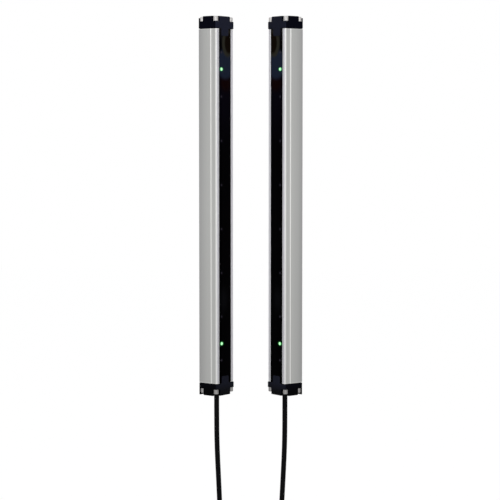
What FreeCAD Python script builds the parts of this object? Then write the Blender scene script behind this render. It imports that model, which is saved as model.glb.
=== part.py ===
import FreeCAD, Part
import math
import os

import Sketcher

# Safety light curtain: an emitter bar and a receiver bar, mirror images of each other.
# Each bar is an aluminium section with a dark window in its front, a moulded cap on each end
# and a cord with a plug that hangs from the lower cap.
# Millimetres. +Z runs up along both bars. The origin lies midway between the two bar axes,
# at the level of the lower caps' undersides. The observer stands at -Y.
# Inside one bar: x across the section, y through it with the window at -y.

DIMENSIONS = {
    # the pair
    "bar_spacing": 80.0,
    "face_turn": 52.0,
    # aluminium section
    "section_width": 33.0,
    "section_depth": 26.5,
    "section_length": 410.0,
    "section_wall": 1.7,
    "front_corner_radius": 2.4,
    "rear_corner_radius": 1.4,
    "step_setback": 8.4,
    "step_inset": 0.6,
    "dish_radius": 14.6,
    "lip_width": 5.6,
    "lip_edge": 0.3,
    "shelf_width": 1.8,
    "front_block": 5.6,
    "rear_block": 6.7,
    "rear_block_radius": 1.0,
    "port_inset": 2.9,
    "rear_port_inset": 3.95,
    "port_radius": 1.5,
    "slot_mouth": 5.4,
    "slot_width": 9.6,
    "slot_lip": 1.4,
    "slot_room": 2.6,
    "slot_wall": 1.4,
    "rib_reach": 1.4,
    "rib_thickness": 1.1,
    # front window
    "window_recess": 0.8,
    "window_thickness": 2.0,
    "window_gap": 0.1,
    "seal_thickness": 0.4,
    "seal_end": 3.0,
    # caps and their gaskets
    "cap_length": 14.5,
    "cap_inset": 0.1,
    "cap_corner_radius": 1.2,
    "cap_end_wall": 3.4,
    "cap_end_chamfer": 0.5,
    "hollow_half_width": 10.0,
    "hollow_front": 5.6,
    "hollow_rear": 5.2,
    "notch_width": 7.4,
    "front_notch": 6.2,
    "rear_notch": 6.85,
    "notch_corner": 2.6,
    "rear_wall": 0.8,
    "rear_wall_drop": 2.0,
    "top_notch_depth": 5.8,
    "bottom_notch_depth": 7.7,
    "tongue_width": 12.5,
    "tongue_length": 8.0,
    "tongue_corner": 1.0,
    "gasket_thickness": 0.6,
    "gasket_inset": 0.85,
    "gasket_corner": 0.8,
    "gasket_bar_front": 6.6,
    "gasket_bar_rear": 6.0,
    "gasket_opening": 10.4,
    # cap screws
    "screw_clearance": 1.7,
    "screw_head_radius": 2.75,
    "screw_head_height": 5.2,
    "screw_shank_radius": 1.45,
    "screw_reach": 8.0,
    # circuit boards
    "board_thickness": 1.6,
    "beam_board_setback": 12.25,
    "beam_board_width": 29.2,
    "beam_board_length": 400.0,
    "groove_play": 0.05,
    "board_gap": 3.0,
    "control_board_width": 19.0,
    "control_board_length": 100.0,
    "control_board_start": 12.0,
    "chip_side": 7.0,
    "chip_height": 1.2,
    "chip_pitch": 22.0,
    "chip_count": 3,
    "header_width": 12.0,
    "header_length": 5.0,
    "header_pitch": 80.0,
    "terminal_width": 10.0,
    "terminal_depth": 2.4,
    "terminal_length": 8.0,
    # optics
    "beam_count": 8,
    "beam_pitch": 50.9,
    "optics_offset": 2.8,
    "optics_width": 12.4,
    "optics_length": 370.0,
    "lens_setback": 4.4,
    "lens_plate": 1.4,
    "lens_side": 10.8,
    "lens_edge": 0.4,
    "lens_curve_radius": 18.0,
    "tunnel_front_side": 10.4,
    "tunnel_rear_side": 5.8,
    "diode_side": 3.4,
    "diode_height": 1.4,
    "diode_dome_radius": 1.3,
    "diode_dome_height": 1.2,
    # indicators
    "indicator_offset": 5.9,
    "indicator_reach": 158.7,
    "indicator_radius": 2.05,
    "indicator_head": 2.4,
    "indicator_hole": 2.1,
    "guide_radius": 1.4,
    "zone_guide": 1.8,
    # cord, its grommet and clamp
    "cord_radius": 3.0,
    "cord_top": 9.4,
    "grommet_radius": 4.2,
    "grommet_length": 5.2,
    "clamp_side": 10.0,
    "clamp_reach": 7.6,
    "clamp_height": 3.2,
    "core_width": 4.4,
    "core_thickness": 1.1,
    "core_setback": 6.4,
    "core_rise": 3.6,
    "core_drop": 4.2,
    # round plug with a fixed outer thread
    "plug_boot_radius": 4.0,
    "plug_shoulder_radius": 6.6,
    "plug_grip_radius": 7.3,
    "plug_boot": 20.0,
    "plug_shoulder": 3.0,
    "plug_grip": 13.0,
    "plug_flats": 16,
    "collar_radius": 7.0,
    "collar_flange": 3.0,
    "thread_radius": 6.0,
    "thread_length": 10.0,
    "thread_bore": 4.95,
    "insert_length": 7.0,
    "insert_key": 0.9,
    "pin_radius": 0.5,
    "pin_circle": 3.0,
    "pin_length": 6.0,
    "pin_count": 4,
    # small round forms are drawn with flat sides: few where they are hidden
    "hidden_sides": 8,
    "small_sides": 16,
}

# The cord routes, in the frame of the pair: straight out of the grommet, then leaning a little
# towards the other bar, and plumb again where the plug hangs.
CORD_ROUTES = {
    "emitter": [
        (-40.0, 0.0, 9.4),
        (-40.0, 0.0, -20.0),
        (-37.8, -0.8, -78.0),
        (-35.5, -2.1, -140.0),
        (-35.5, -2.1, -196.0),
    ],
    "receiver": [
        (40.0, 0.0, 9.4),
        (40.0, 0.0, -19.0),
        (37.5, -0.6, -76.0),
        (35.0, -2.0, -137.0),
        (35.0, -2.0, -194.5),
    ],
}

# Shorthand for planes inside one bar, as spreadsheet expressions.
SIDE = "dims.section_width / 2"
FRONT = "-dims.section_depth / 2"
REAR = "dims.section_depth / 2"
LOW_SEAT = "dims.cap_length"
HIGH_SEAT = "dims.cap_length + dims.section_length"
MIDDLE = "dims.cap_length + dims.section_length / 2"
TOP_END = "2 * dims.cap_length + dims.section_length"
CAP_SIDE = "(dims.section_width / 2 - dims.cap_inset)"
CAP_FRONT = "(-dims.section_depth / 2 + dims.cap_inset)"
CAP_REAR = "(dims.section_depth / 2 - dims.cap_inset)"
PORT_X = "(dims.section_width / 2 - dims.port_inset)"
FRONT_PORT_Y = "(-dims.section_depth / 2 + dims.port_inset)"
REAR_PORT_Y = "(dims.section_depth / 2 - dims.rear_port_inset)"
WINDOW_FACE = "(-dims.section_depth / 2 + dims.window_recess)"
WINDOW_BACK = "(-dims.section_depth / 2 + dims.window_recess + dims.window_thickness)"
BEAM_BOARD_FACE = "(-dims.section_depth / 2 + dims.beam_board_setback)"
BEAM_BOARD_BACK = "(-dims.section_depth / 2 + dims.beam_board_setback + dims.board_thickness)"

doc = FreeCAD.newDocument("safety_light_curtain")
sheet = doc.addObject("Spreadsheet::Sheet", "dims")
nodes = []


def fill_sheet():
    """One row for each driving dimension: its name in column A and its value in column B."""
    for row, (name, number) in enumerate(DIMENSIONS.items(), start=1):
        sheet.set(f"A{row}", name)
        sheet.set(f"B{row}", str(number))
        sheet.setAlias(f"B{row}", name)
    doc.recompute()


def value(expression):
    """The number that an expression on the sheet has now."""
    return float(sheet.evalExpression(expression))


def point(x, y):
    return FreeCAD.Vector(value(x), value(y), 0)


# ---------------------------------------------------------------- sketches and features


def new_body(label):
    body = doc.addObject("PartDesign::Body", label)
    body.Label = label
    body.AllowCompound = True
    return body


def sketch_on(body, name, role="XY_Plane", offset="0"):
    """An empty sketch on one of the body's origin planes, moved along the plane's normal."""
    sketch = body.newObject("Sketcher::SketchObject", f"{body.Label}_{name}")
    plane = next(item for item in body.Origin.OriginFeatures if item.Role == role)
    sketch.AttachmentSupport = [(plane, "")]
    sketch.MapMode = "FlatFace"
    sketch.setExpression("AttachmentOffset.Base.z", offset)
    return sketch


def bind(sketch, kind, geometry, position, expression):
    """A distance from the sketch's origin that follows the sheet."""
    origin = -1
    constraint = Sketcher.Constraint(kind, origin, 1, geometry, position, value(expression))
    index = sketch.addConstraint(constraint)
    sketch.setExpression(f"Constraints[{index}]", expression)


def arc_between(start, end, radius, turn):
    """The arc from start to end that bends left (turn +1) or right (turn -1)."""
    chord = end - start
    middle = (start + end) * 0.5
    left = FreeCAD.Vector(-chord.y, chord.x, 0).normalize()
    height = math.sqrt(max(radius**2 - (chord.Length / 2) ** 2, 0.0))
    centre = middle + left * (turn * height)
    first, last = (start, end) if turn > 0 else (end, start)
    circle = Part.Circle(centre, FreeCAD.Vector(0, 0, 1), radius)
    return Part.ArcOfCircle(circle, circle.parameter(first), circle.parameter(last))


def outline(sketch, corners, arcs=None):
    """A closed outline through corners; arcs maps a run's number to its radius and its turn."""
    arcs = arcs or {}
    count = len(corners)
    first_geometry = sketch.GeometryCount
    spots = [point(x, y) for x, y in corners]
    ends = []
    for number in range(count):
        start, end = spots[number], spots[(number + 1) % count]
        if number in arcs:
            radius, turn = arcs[number]
            sketch.addGeometry(arc_between(start, end, value(radius), turn))
            ends.append((1, 2) if turn > 0 else (2, 1))
        else:
            sketch.addGeometry(Part.LineSegment(start, end))
            ends.append((1, 2))
    for number in range(count):
        following = (number + 1) % count
        this_run = first_geometry + number
        next_run = first_geometry + following
        joint = Sketcher.Constraint(
            "Coincident", this_run, ends[number][1], next_run, ends[following][0]
        )
        sketch.addConstraint(joint)
        bind(sketch, "DistanceX", this_run, ends[number][0], corners[number][0])
        bind(sketch, "DistanceY", this_run, ends[number][0], corners[number][1])
        if number in arcs:
            radius = arcs[number][0]
            index = sketch.addConstraint(Sketcher.Constraint("Radius", this_run, value(radius)))
            sketch.setExpression(f"Constraints[{index}]", radius)


def rectangle(sketch, low_x, high_x, low_y, high_y):
    outline(sketch, [(low_x, low_y), (high_x, low_y), (high_x, high_y), (low_x, high_y)])


def rounded_rectangle(sketch, low_x, high_x, low_y, high_y, radius):
    """A rectangle with four rounded corners, drawn anticlockwise."""
    corners = [
        (f"{low_x} + {radius}", low_y),
        (f"{high_x} - {radius}", low_y),
        (high_x, f"{low_y} + {radius}"),
        (high_x, f"{high_y} - {radius}"),
        (f"{high_x} - {radius}", high_y),
        (f"{low_x} + {radius}", high_y),
        (low_x, f"{high_y} - {radius}"),
        (low_x, f"{low_y} + {radius}"),
    ]
    outline(sketch, corners, {run: (radius, 1) for run in (1, 3, 5, 7)})


def circle(sketch, x, y, radius):
    centre = point(x, y)
    index = sketch.addGeometry(Part.Circle(centre, FreeCAD.Vector(0, 0, 1), value(radius)))
    bind(sketch, "DistanceX", index, 3, x)
    bind(sketch, "DistanceY", index, 3, y)
    size = sketch.addConstraint(Sketcher.Constraint("Radius", index, value(radius)))
    sketch.setExpression(f"Constraints[{size}]", radius)


def polygon(sketch, x, y, radius, sides="dims.hidden_sides"):
    """A small round outline, drawn with flat sides."""
    count = int(value(sides))
    turns = [f"{number * 360 / count} deg" for number in range(count)]
    outline(sketch, [(f"{x} + {radius} * cos({a})", f"{y} + {radius} * sin({a})") for a in turns])


def pad(body, sketch, length, downwards=False):
    feature = body.newObject("PartDesign::Pad", f"{sketch.Name}_pad")
    feature.Profile = sketch
    feature.setExpression("Length", length)
    feature.Reversed = downwards
    doc.recompute()
    return feature


def pocket(body, sketch, length=None, upwards=False):
    """A cut below the sketch, or above it with upwards; through all where no length is given."""
    before = body.Shape.Volume
    feature = body.newObject("PartDesign::Pocket", f"{sketch.Name}_cut")
    feature.Profile = sketch
    feature.Reversed = upwards
    if length is None:
        feature.Type = "ThroughAll"
    else:
        feature.setExpression("Length", length)
    doc.recompute()
    least = 1e-3
    if body.Shape.Volume > before - least:
        raise RuntimeError(f"{feature.Name} cuts nothing")
    return feature


def slab(label, low_x, high_x, low_y, high_y, low_z, high_z):
    """A flat-faced piece of its own: a padded rectangle."""
    body = new_body(label)
    sketch = sketch_on(body, "plan", offset=low_z)
    rectangle(sketch, low_x, high_x, low_y, high_y)
    pad(body, sketch, f"({high_z}) - ({low_z})")
    return body


# ---------------------------------------------------------------- primitives


def box(name, low_x, high_x, low_y, high_y, low_z, high_z):
    block = doc.addObject("Part::Box", name)
    sizes = (("Length", low_x, high_x), ("Width", low_y, high_y), ("Height", low_z, high_z))
    for size, low, high in sizes:
        block.setExpression(size, f"({high}) - ({low})")
    for axis, low in (("x", low_x), ("y", low_y), ("z", low_z)):
        block.setExpression(f"Placement.Base.{axis}", low)
    return block


def upright(name, x, y, low, high, radius):
    """A cylinder along Z."""
    rod = doc.addObject("Part::Cylinder", name)
    rod.setExpression("Radius", radius)
    rod.setExpression("Height", f"({high}) - ({low})")
    for axis, place in (("x", x), ("y", y), ("z", low)):
        rod.setExpression(f"Placement.Base.{axis}", place)
    return rod


def upright_prism(name, x, y, low, high, radius, sides="dims.hidden_sides"):
    """A small round piece along Z, drawn with flat sides."""
    rod = doc.addObject("Part::Prism", name)
    rod.setExpression("Polygon", sides)
    rod.setExpression("Circumradius", radius)
    rod.setExpression("Height", f"({high}) - ({low})")
    for axis, place in (("x", x), ("y", y), ("z", low)):
        rod.setExpression(f"Placement.Base.{axis}", place)
    return rod


def facing(name, kind, x, z, near_y, far_y, sizes):
    """A round primitive whose axis runs from the front towards the rear of the bar."""
    piece = doc.addObject(kind, name)
    backwards = FreeCAD.Rotation(FreeCAD.Vector(1, 0, 0), -90)
    piece.Placement = FreeCAD.Placement(FreeCAD.Vector(), backwards)
    for size, expression in sizes.items():
        piece.setExpression(size, expression)
    piece.setExpression("Height", f"({far_y}) - ({near_y})")
    for axis, place in (("x", x), ("y", near_y), ("z", z)):
        piece.setExpression(f"Placement.Base.{axis}", place)
    return piece


def joined(label, pieces):
    """Several pieces as one object: those that touch become one solid, the others stay apart."""
    group = doc.addObject("Part::MultiFuse", label)
    group.Label = label
    group.Shapes = pieces
    group.Refine = True
    return group


def cut(label, base, tool):
    result = doc.addObject("Part::Cut", label)
    result.Label = label
    result.Base = base
    result.Tool = tool
    return result


def tube_along(route, radius):
    """A round tube along straight runs and tangent arcs, with the arcs' radii and its length."""
    spots = [FreeCAD.Vector(*spot) for spot in route]
    runs = [(end - start).Length for start, end in zip(spots, spots[1:])]
    edges, radii, start = [], [], spots[0]
    for number in range(1, len(spots) - 1):
        arriving = (spots[number] - spots[number - 1]).normalize()
        leaving = (spots[number + 1] - spots[number]).normalize()
        half_turn = arriving.getAngle(leaving) / 2
        trim = 0.45 * min(runs[number - 1], runs[number])
        bend = trim / math.tan(half_turn)
        inward = (leaving - arriving).normalize()
        sagitta = bend / math.cos(half_turn) - bend
        arc_start = spots[number] - arriving * trim
        arc_end = spots[number] + leaving * trim
        edges.append(Part.LineSegment(start, arc_start).toShape())
        edges.append(Part.Arc(arc_start, spots[number] + inward * sagitta, arc_end).toShape())
        radii.append(bend)
        start = arc_end
    edges.append(Part.LineSegment(start, spots[-1]).toShape())
    path = Part.Wire(edges)
    heading = (spots[1] - spots[0]).normalize()
    ring = Part.Wire(Part.Circle(spots[0], heading, radius).toShape())
    return path.makePipeShell([ring], True, False), radii, path.Length


# ---------------------------------------------------------------- where things go


def place_in_bar(piece, bar):
    """Carry a piece from the bar's own frame to its place in the pair."""
    turn = bar["turn"]
    upwards = FreeCAD.Rotation(FreeCAD.Vector(0, 0, 1), turn * value("dims.face_turn"))
    piece.Placement = FreeCAD.Placement(FreeCAD.Vector(), upwards)
    piece.setExpression("Placement.Base.x", f"{-turn} * dims.bar_spacing / 2")
    piece.setExpression("Placement.Rotation.Angle", f"{turn} * dims.face_turn")
    nodes.append(piece)


def place_on_cord(piece, bar):
    """Hang a piece of the plug, modelled from z = 0 downwards, under the cord's end."""
    x, y, z = bar["route"][-1]
    upwards = FreeCAD.Rotation(FreeCAD.Vector(0, 0, 1), bar["turn"] * value("dims.face_turn"))
    piece.Placement = FreeCAD.Placement(FreeCAD.Vector(x, y, z), upwards)
    nodes.append(piece)


def beam_heights():
    """The heights of the beams, evenly spaced about the middle of the section."""
    count = int(value("dims.beam_count"))
    return [f"{MIDDLE} + {number - (count - 1) / 2} * dims.beam_pitch" for number in range(count)]


def indicator_heights():
    return [f"{MIDDLE} - dims.indicator_reach", f"{MIDDLE} + dims.indicator_reach"]


# ---------------------------------------------------------------- aluminium section


def right_half_of_section():
    """Corners of the right half of the section, out along the skin and back along the inside."""
    slot_floor = f"{REAR} - dims.slot_lip - dims.slot_room"
    step_x = f"{SIDE} - dims.step_inset"
    step_y = f"{FRONT} + dims.step_setback"
    lip_x = f"{SIDE} - dims.lip_width"
    shelf_y = f"{FRONT} + dims.window_recess + dims.window_thickness + dims.seal_thickness"
    inner_x = f"{SIDE} - dims.section_wall"
    narrow_x = f"{SIDE} - dims.step_inset - dims.section_wall"
    block_y = f"{FRONT} + dims.front_block"
    rib_x = f"{inner_x} - dims.rib_reach"
    front_rib_y = f"{BEAM_BOARD_FACE} - dims.groove_play"
    rear_rib_y = f"{BEAM_BOARD_BACK} + dims.groove_play"
    rear_block_y = f"{REAR} - dims.rear_block"
    port_wall_x = f"{SIDE} - dims.front_block"
    inner_rear_y = f"{REAR} - dims.section_wall"
    slot_wall_x = "dims.slot_width / 2 + dims.slot_wall"
    corners = [
        ("0", slot_floor),
        ("dims.slot_width / 2", slot_floor),
        ("dims.slot_width / 2", f"{REAR} - dims.slot_lip"),
        ("dims.slot_mouth / 2", f"{REAR} - dims.slot_lip"),
        ("dims.slot_mouth / 2", REAR),
        (f"{SIDE} - dims.rear_corner_radius", REAR),
        (SIDE, f"{REAR} - dims.rear_corner_radius"),
        (SIDE, step_y),
        (step_x, f"{step_y} - dims.step_inset"),
        (step_x, f"{FRONT} + dims.front_corner_radius"),
        (f"{step_x} - dims.front_corner_radius", FRONT),
        (f"{lip_x} + dims.lip_edge", FRONT),
        (lip_x, f"{FRONT} + dims.lip_edge"),
        (lip_x, shelf_y),
        (f"{lip_x} - dims.shelf_width", shelf_y),
        (f"{lip_x} - dims.shelf_width", block_y),
        (narrow_x, block_y),
        (narrow_x, step_y),
        (inner_x, f"{step_y} + dims.step_inset"),
        (inner_x, f"{front_rib_y} - dims.rib_thickness"),
        (rib_x, f"{front_rib_y} - dims.rib_thickness"),
        (rib_x, front_rib_y),
        (inner_x, front_rib_y),
        (inner_x, rear_rib_y),
        (rib_x, rear_rib_y),
        (rib_x, f"{rear_rib_y} + dims.rib_thickness"),
        (inner_x, f"{rear_rib_y} + dims.rib_thickness"),
        (inner_x, rear_block_y),
        (f"{port_wall_x} + dims.rear_block_radius", rear_block_y),
        (port_wall_x, f"{rear_block_y} + dims.rear_block_radius"),
        (port_wall_x, inner_rear_y),
        (slot_wall_x, inner_rear_y),
        (slot_wall_x, f"{slot_floor} - dims.slot_wall"),
        ("0", f"{slot_floor} - dims.slot_wall"),
    ]
    rear_corner, dish, front_corner, rear_block_corner = 5, 8, 9, 28
    arcs = {
        rear_corner: ("dims.rear_corner_radius", -1),
        dish: ("dims.dish_radius", 1),
        front_corner: ("dims.front_corner_radius", -1),
        rear_block_corner: ("dims.rear_block_radius", -1),
    }
    return corners, arcs


def make_profile(bar):
    """Extruded section: half of it is drawn and mirrored, with a screw port in each corner."""
    body = new_body(f"{bar['name']}_profile")
    sketch = sketch_on(body, "half", offset=LOW_SEAT)
    corners, arcs = right_half_of_section()
    outline(sketch, corners, arcs)
    polygon(sketch, PORT_X, FRONT_PORT_Y, "dims.port_radius")
    polygon(sketch, PORT_X, REAR_PORT_Y, "dims.port_radius")
    half = pad(body, sketch, "dims.section_length")
    mirror = body.newObject("PartDesign::Mirrored", f"{body.Label}_mirror")
    mirror.Originals = [half]
    mirror.MirrorPlane = (sketch, ["V_Axis"])
    body.Tip = mirror
    doc.recompute()
    return body


# ---------------------------------------------------------------- window


def make_window(bar):
    """Tinted front plate, with a hole for each of the two status indicators."""
    body = new_body(f"{bar['name']}_window")
    sketch = sketch_on(body, "plate", offset=LOW_SEAT)
    half_width = f"({SIDE} - dims.lip_width - dims.window_gap)"
    rectangle(sketch, f"-{half_width}", half_width, WINDOW_FACE, WINDOW_BACK)
    pad(body, sketch, "dims.section_length")
    holes = sketch_on(body, "holes", "XZ_Plane", offset=f"-{WINDOW_BACK}")
    for height in indicator_heights():
        circle(holes, f"{bar['hand']} * dims.indicator_offset", height, "dims.indicator_hole")
    pocket(body, holes, "2 * dims.window_thickness", upwards=True)
    return body


def make_window_seal(bar):
    """Adhesive frame between the window and the shelf that it rests on."""
    label = f"{bar['name']}_window_seal"
    half_width = f"({SIDE} - dims.lip_width - dims.window_gap)"
    opening = f"({SIDE} - dims.lip_width - dims.shelf_width)"
    back = f"{WINDOW_BACK} + dims.seal_thickness"
    frame = box(
        f"{label}_frame", f"-{half_width}", half_width, WINDOW_BACK, back, LOW_SEAT, HIGH_SEAT
    )
    inside = box(
        f"{label}_opening",
        f"-{opening}",
        opening,
        WINDOW_BACK,
        back,
        f"{LOW_SEAT} + dims.seal_end",
        f"{HIGH_SEAT} - dims.seal_end",
    )
    return cut(label, frame, inside)


# ---------------------------------------------------------------- caps


def screw_spots():
    """The four screw axes of a cap."""
    return [(f"{sign}{PORT_X}", y) for sign in ("", "-") for y in (FRONT_PORT_Y, REAR_PORT_Y)]


def notch_outline(sketch, sign, at_front):
    """Corner cut with a rounded inner corner; it runs past the cap's side, and past its front.

    At the rear a thin wall of the cap stays behind the notch.
    """
    inner_x = f"{sign}({CAP_SIDE} - dims.notch_width)"
    outer_x = f"{sign}({CAP_SIDE} + dims.notch_corner)"
    turn_x = f"{sign}({CAP_SIDE} - dims.notch_width + dims.notch_corner)"
    if at_front:
        outer_y = f"({CAP_FRONT} - dims.notch_corner)"
        inner_y = f"({CAP_FRONT} + dims.front_notch)"
        turn_y = f"({CAP_FRONT} + dims.front_notch - dims.notch_corner)"
    else:
        outer_y = f"({CAP_REAR} - dims.rear_wall)"
        inner_y = f"({CAP_REAR} - dims.rear_notch)"
        turn_y = f"({CAP_REAR} - dims.rear_notch + dims.notch_corner)"
    corners = [
        (outer_x, outer_y),
        (inner_x, outer_y),
        (inner_x, turn_y),
        (turn_x, inner_y),
        (outer_x, inner_y),
    ]
    bends_left = (sign == "") == at_front
    outline(sketch, corners, {2: ("dims.notch_corner", -1 if bends_left else 1)})


def make_cap(bar, end):
    """Moulded end cap: corner notches for the screws, a tongue over the window and a hollow."""
    at_top = end == "top"
    body = new_body(f"{bar['name']}_{end}_cap")
    outside = TOP_END if at_top else "0"
    height = "dims.cap_length - dims.gasket_thickness"
    seat = f"{HIGH_SEAT} + dims.gasket_thickness" if at_top else height
    shell = sketch_on(body, "shell", offset=outside)
    rounded_rectangle(
        shell, f"-{CAP_SIDE}", CAP_SIDE, CAP_FRONT, CAP_REAR, "dims.cap_corner_radius"
    )
    block = pad(body, shell, height, downwards=at_top)
    rim = body.newObject("PartDesign::Chamfer", f"{body.Label}_rim")
    rim.Base = (block, [end_face_of(block, outside)])
    rim.setExpression("Size", "dims.cap_end_chamfer")
    doc.recompute()

    tongue = sketch_on(body, "tongue", "XZ_Plane", offset=f"-{WINDOW_FACE}")
    tongue_outline(tongue, at_top, seat)
    thickness = "dims.window_recess - dims.cap_inset"
    pad(body, tongue, thickness)

    notches = sketch_on(body, "notches", offset=outside)
    for sign in ("", "-"):
        notch_outline(notches, sign, at_front=True)
        notch_outline(notches, sign, at_front=False)
    pocket(body, notches, f"dims.{end}_notch_depth", upwards=not at_top)
    if at_top:
        lower_rear_wall(body, outside)

    holes = sketch_on(body, "screw_holes", offset=outside)
    for x, y in screw_spots():
        polygon(holes, x, y, "dims.screw_clearance")
    pocket(body, holes, "dims.cap_length", upwards=not at_top)

    hollow = sketch_on(body, "hollow", offset=seat)
    rectangle(
        hollow,
        "-dims.hollow_half_width",
        "dims.hollow_half_width",
        "-dims.hollow_front",
        "dims.hollow_rear",
    )
    pocket(body, hollow, f"{height} - dims.cap_end_wall", upwards=at_top)
    if not at_top:
        cord_hole = sketch_on(body, "cord_hole", offset=outside)
        polygon(cord_hole, "0", "0", "dims.grommet_radius", "dims.small_sides")
        pocket(body, cord_hole, "dims.cap_length", upwards=True)
    return body


def end_face_of(feature, height):
    """The name of the flat face that lies at the given height."""
    level = value(height)
    for number, face in enumerate(feature.Shape.Faces, start=1):
        if face.BoundBox.ZLength < 1e-6 and abs(face.BoundBox.ZMin - level) < 1e-6:
            return f"Face{number}"
    raise RuntimeError(f"{feature.Name} has no face at {level}")


def tongue_outline(sketch, at_top, seat):
    """Flat tab that runs from the cap over the end of the window, with its corners cut off."""
    half = "dims.tongue_width / 2"
    root = seat
    if at_top:
        tip = f"{HIGH_SEAT} - dims.tongue_length"
        bend = f"{tip} + dims.tongue_corner"
    else:
        tip = f"{LOW_SEAT} + dims.tongue_length"
        bend = f"{tip} - dims.tongue_corner"
    corners = [
        (f"-{half}", root),
        (f"-{half}", bend),
        (f"-{half} + dims.tongue_corner", tip),
        (f"{half} - dims.tongue_corner", tip),
        (half, bend),
        (half, root),
    ]
    outline(sketch, corners)


def lower_rear_wall(body, outside):
    """The upper cap's rear corners are a little lower than its end."""
    sketch = sketch_on(body, "rear_corners", offset=outside)
    for sign in ("", "-"):
        inner = f"{sign}({CAP_SIDE} - dims.notch_width)"
        outer = f"{sign}({CAP_SIDE} + dims.notch_corner)"
        near = f"({CAP_REAR} - dims.rear_wall)"
        far = f"({CAP_REAR} + dims.notch_corner)"
        rectangle(sketch, inner, outer, near, far)
    pocket(body, sketch, "dims.rear_wall_drop")


def make_gasket(bar, end):
    """Flat gasket between a cap and the end of the section."""
    body = new_body(f"{bar['name']}_{end}_gasket")
    low = HIGH_SEAT if end == "top" else f"{LOW_SEAT} - dims.gasket_thickness"
    sketch = sketch_on(body, "sheet", offset=low)
    half_width = f"({SIDE} - dims.gasket_inset)"
    front = f"({FRONT} + dims.gasket_inset)"
    rear = f"({REAR} - dims.gasket_inset)"
    cut_corner_sheet(sketch, half_width, front, rear)
    rectangle(
        sketch,
        "-dims.gasket_opening",
        "dims.gasket_opening",
        "-dims.gasket_bar_front",
        "dims.gasket_bar_rear",
    )
    for x, y in screw_spots():
        polygon(sketch, x, y, "dims.screw_clearance")
    pad(body, sketch, "dims.gasket_thickness")
    return body


def cut_corner_sheet(sketch, half_width, front, rear):
    """A rectangle with its four corners cut off."""
    cut_off = "dims.gasket_corner"
    corners = [
        (f"-{half_width} + {cut_off}", front),
        (f"{half_width} - {cut_off}", front),
        (half_width, f"{front} + {cut_off}"),
        (half_width, f"{rear} - {cut_off}"),
        (f"{half_width} - {cut_off}", rear),
        (f"-{half_width} + {cut_off}", rear),
        (f"-{half_width}", f"{rear} - {cut_off}"),
        (f"-{half_width}", f"{front} + {cut_off}"),
    ]
    outline(sketch, corners)


def make_screws(bar, end):
    """Four cap screws, heads outwards."""
    label = f"{bar['name']}_{end}_screws"
    if end == "top":
        floor = f"({TOP_END} - dims.top_notch_depth)"
        head = (floor, f"{floor} + dims.screw_head_height")
        shank = (f"{HIGH_SEAT} - dims.screw_reach", floor)
    else:
        floor = "dims.bottom_notch_depth"
        head = (f"{floor} - dims.screw_head_height", floor)
        shank = (floor, f"{LOW_SEAT} + dims.screw_reach")
    sides = "dims.small_sides"
    pieces = []
    for x, y in screw_spots():
        pieces += [
            upright_prism(f"{label}_head", x, y, *head, "dims.screw_head_radius", sides),
            upright_prism(f"{label}_shank", x, y, *shank, "dims.screw_shank_radius"),
        ]
    return joined(label, pieces)


# ---------------------------------------------------------------- optics


def make_optics_rail(bar):
    """Moulded rail between the lenses and the board, with a tapered light tunnel per beam."""
    label = f"{bar['name']}_optics_rail"
    axis_x = f"{-bar['hand']} * dims.optics_offset"
    front = f"({FRONT} + dims.lens_setback + dims.lens_plate)"
    rail = box(
        f"{label}_bar",
        f"{axis_x} - dims.optics_width / 2",
        f"{axis_x} + dims.optics_width / 2",
        front,
        BEAM_BOARD_FACE,
        f"{MIDDLE} - dims.optics_length / 2",
        f"{MIDDLE} + dims.optics_length / 2",
    )
    tunnels = []
    for height in beam_heights():
        tunnel = doc.addObject("Part::Wedge", f"{label}_tunnel")
        tunnel.setExpression("Ymin", front)
        tunnel.setExpression("Ymax", BEAM_BOARD_FACE)
        for side, sign in (("min", "-"), ("max", "+")):
            tunnel.setExpression(f"X{side}", f"{axis_x} {sign} dims.tunnel_front_side / 2")
            tunnel.setExpression(f"Z{side}", f"{height} {sign} dims.tunnel_front_side / 2")
            tunnel.setExpression(f"X2{side}", f"{axis_x} {sign} dims.tunnel_rear_side / 2")
            tunnel.setExpression(f"Z2{side}", f"{height} {sign} dims.tunnel_rear_side / 2")
        tunnels.append(tunnel)
    return cut(label, rail, joined(f"{label}_tunnels", tunnels))


def make_lens_strip(bar):
    """Clear strip with a raised square lens for each beam, curved towards the window."""
    body = new_body(f"{bar['name']}_lens_strip")
    axis_x = f"{-bar['hand']} * dims.optics_offset"
    face = f"({FRONT} + dims.lens_setback)"
    strip = sketch_on(body, "strip", offset=f"{MIDDLE} - dims.optics_length / 2")
    low_x = f"{axis_x} - dims.optics_width / 2"
    high_x = f"{axis_x} + dims.optics_width / 2"
    rectangle(strip, low_x, high_x, face, f"{face} + dims.lens_plate")
    pad(body, strip, "dims.optics_length")

    lens = sketch_on(body, "lens", offset=f"{beam_heights()[0]} - dims.lens_side / 2")
    rim = f"{face} - dims.lens_edge"
    corners = [
        (f"{axis_x} - dims.lens_side / 2", rim),
        (f"{axis_x} + dims.lens_side / 2", rim),
        (f"{axis_x} + dims.lens_side / 2", f"{face} + dims.lens_plate / 2"),
        (f"{axis_x} - dims.lens_side / 2", f"{face} + dims.lens_plate / 2"),
    ]
    outline(lens, corners, {0: ("dims.lens_curve_radius", 1)})
    single = pad(body, lens, "dims.lens_side")
    row = body.newObject("PartDesign::LinearPattern", f"{body.Label}_row")
    row.Originals = [single]
    row.Direction = (lens, ["N_Axis"])
    row.setExpression("Length", "(dims.beam_count - 1) * dims.beam_pitch")
    row.setExpression("Occurrences", "dims.beam_count")
    body.Tip = row
    doc.recompute()
    if body.Shape.Volume < single.Shape.Volume + 1:
        raise RuntimeError(f"{body.Label} has a single lens")
    return body


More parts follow.
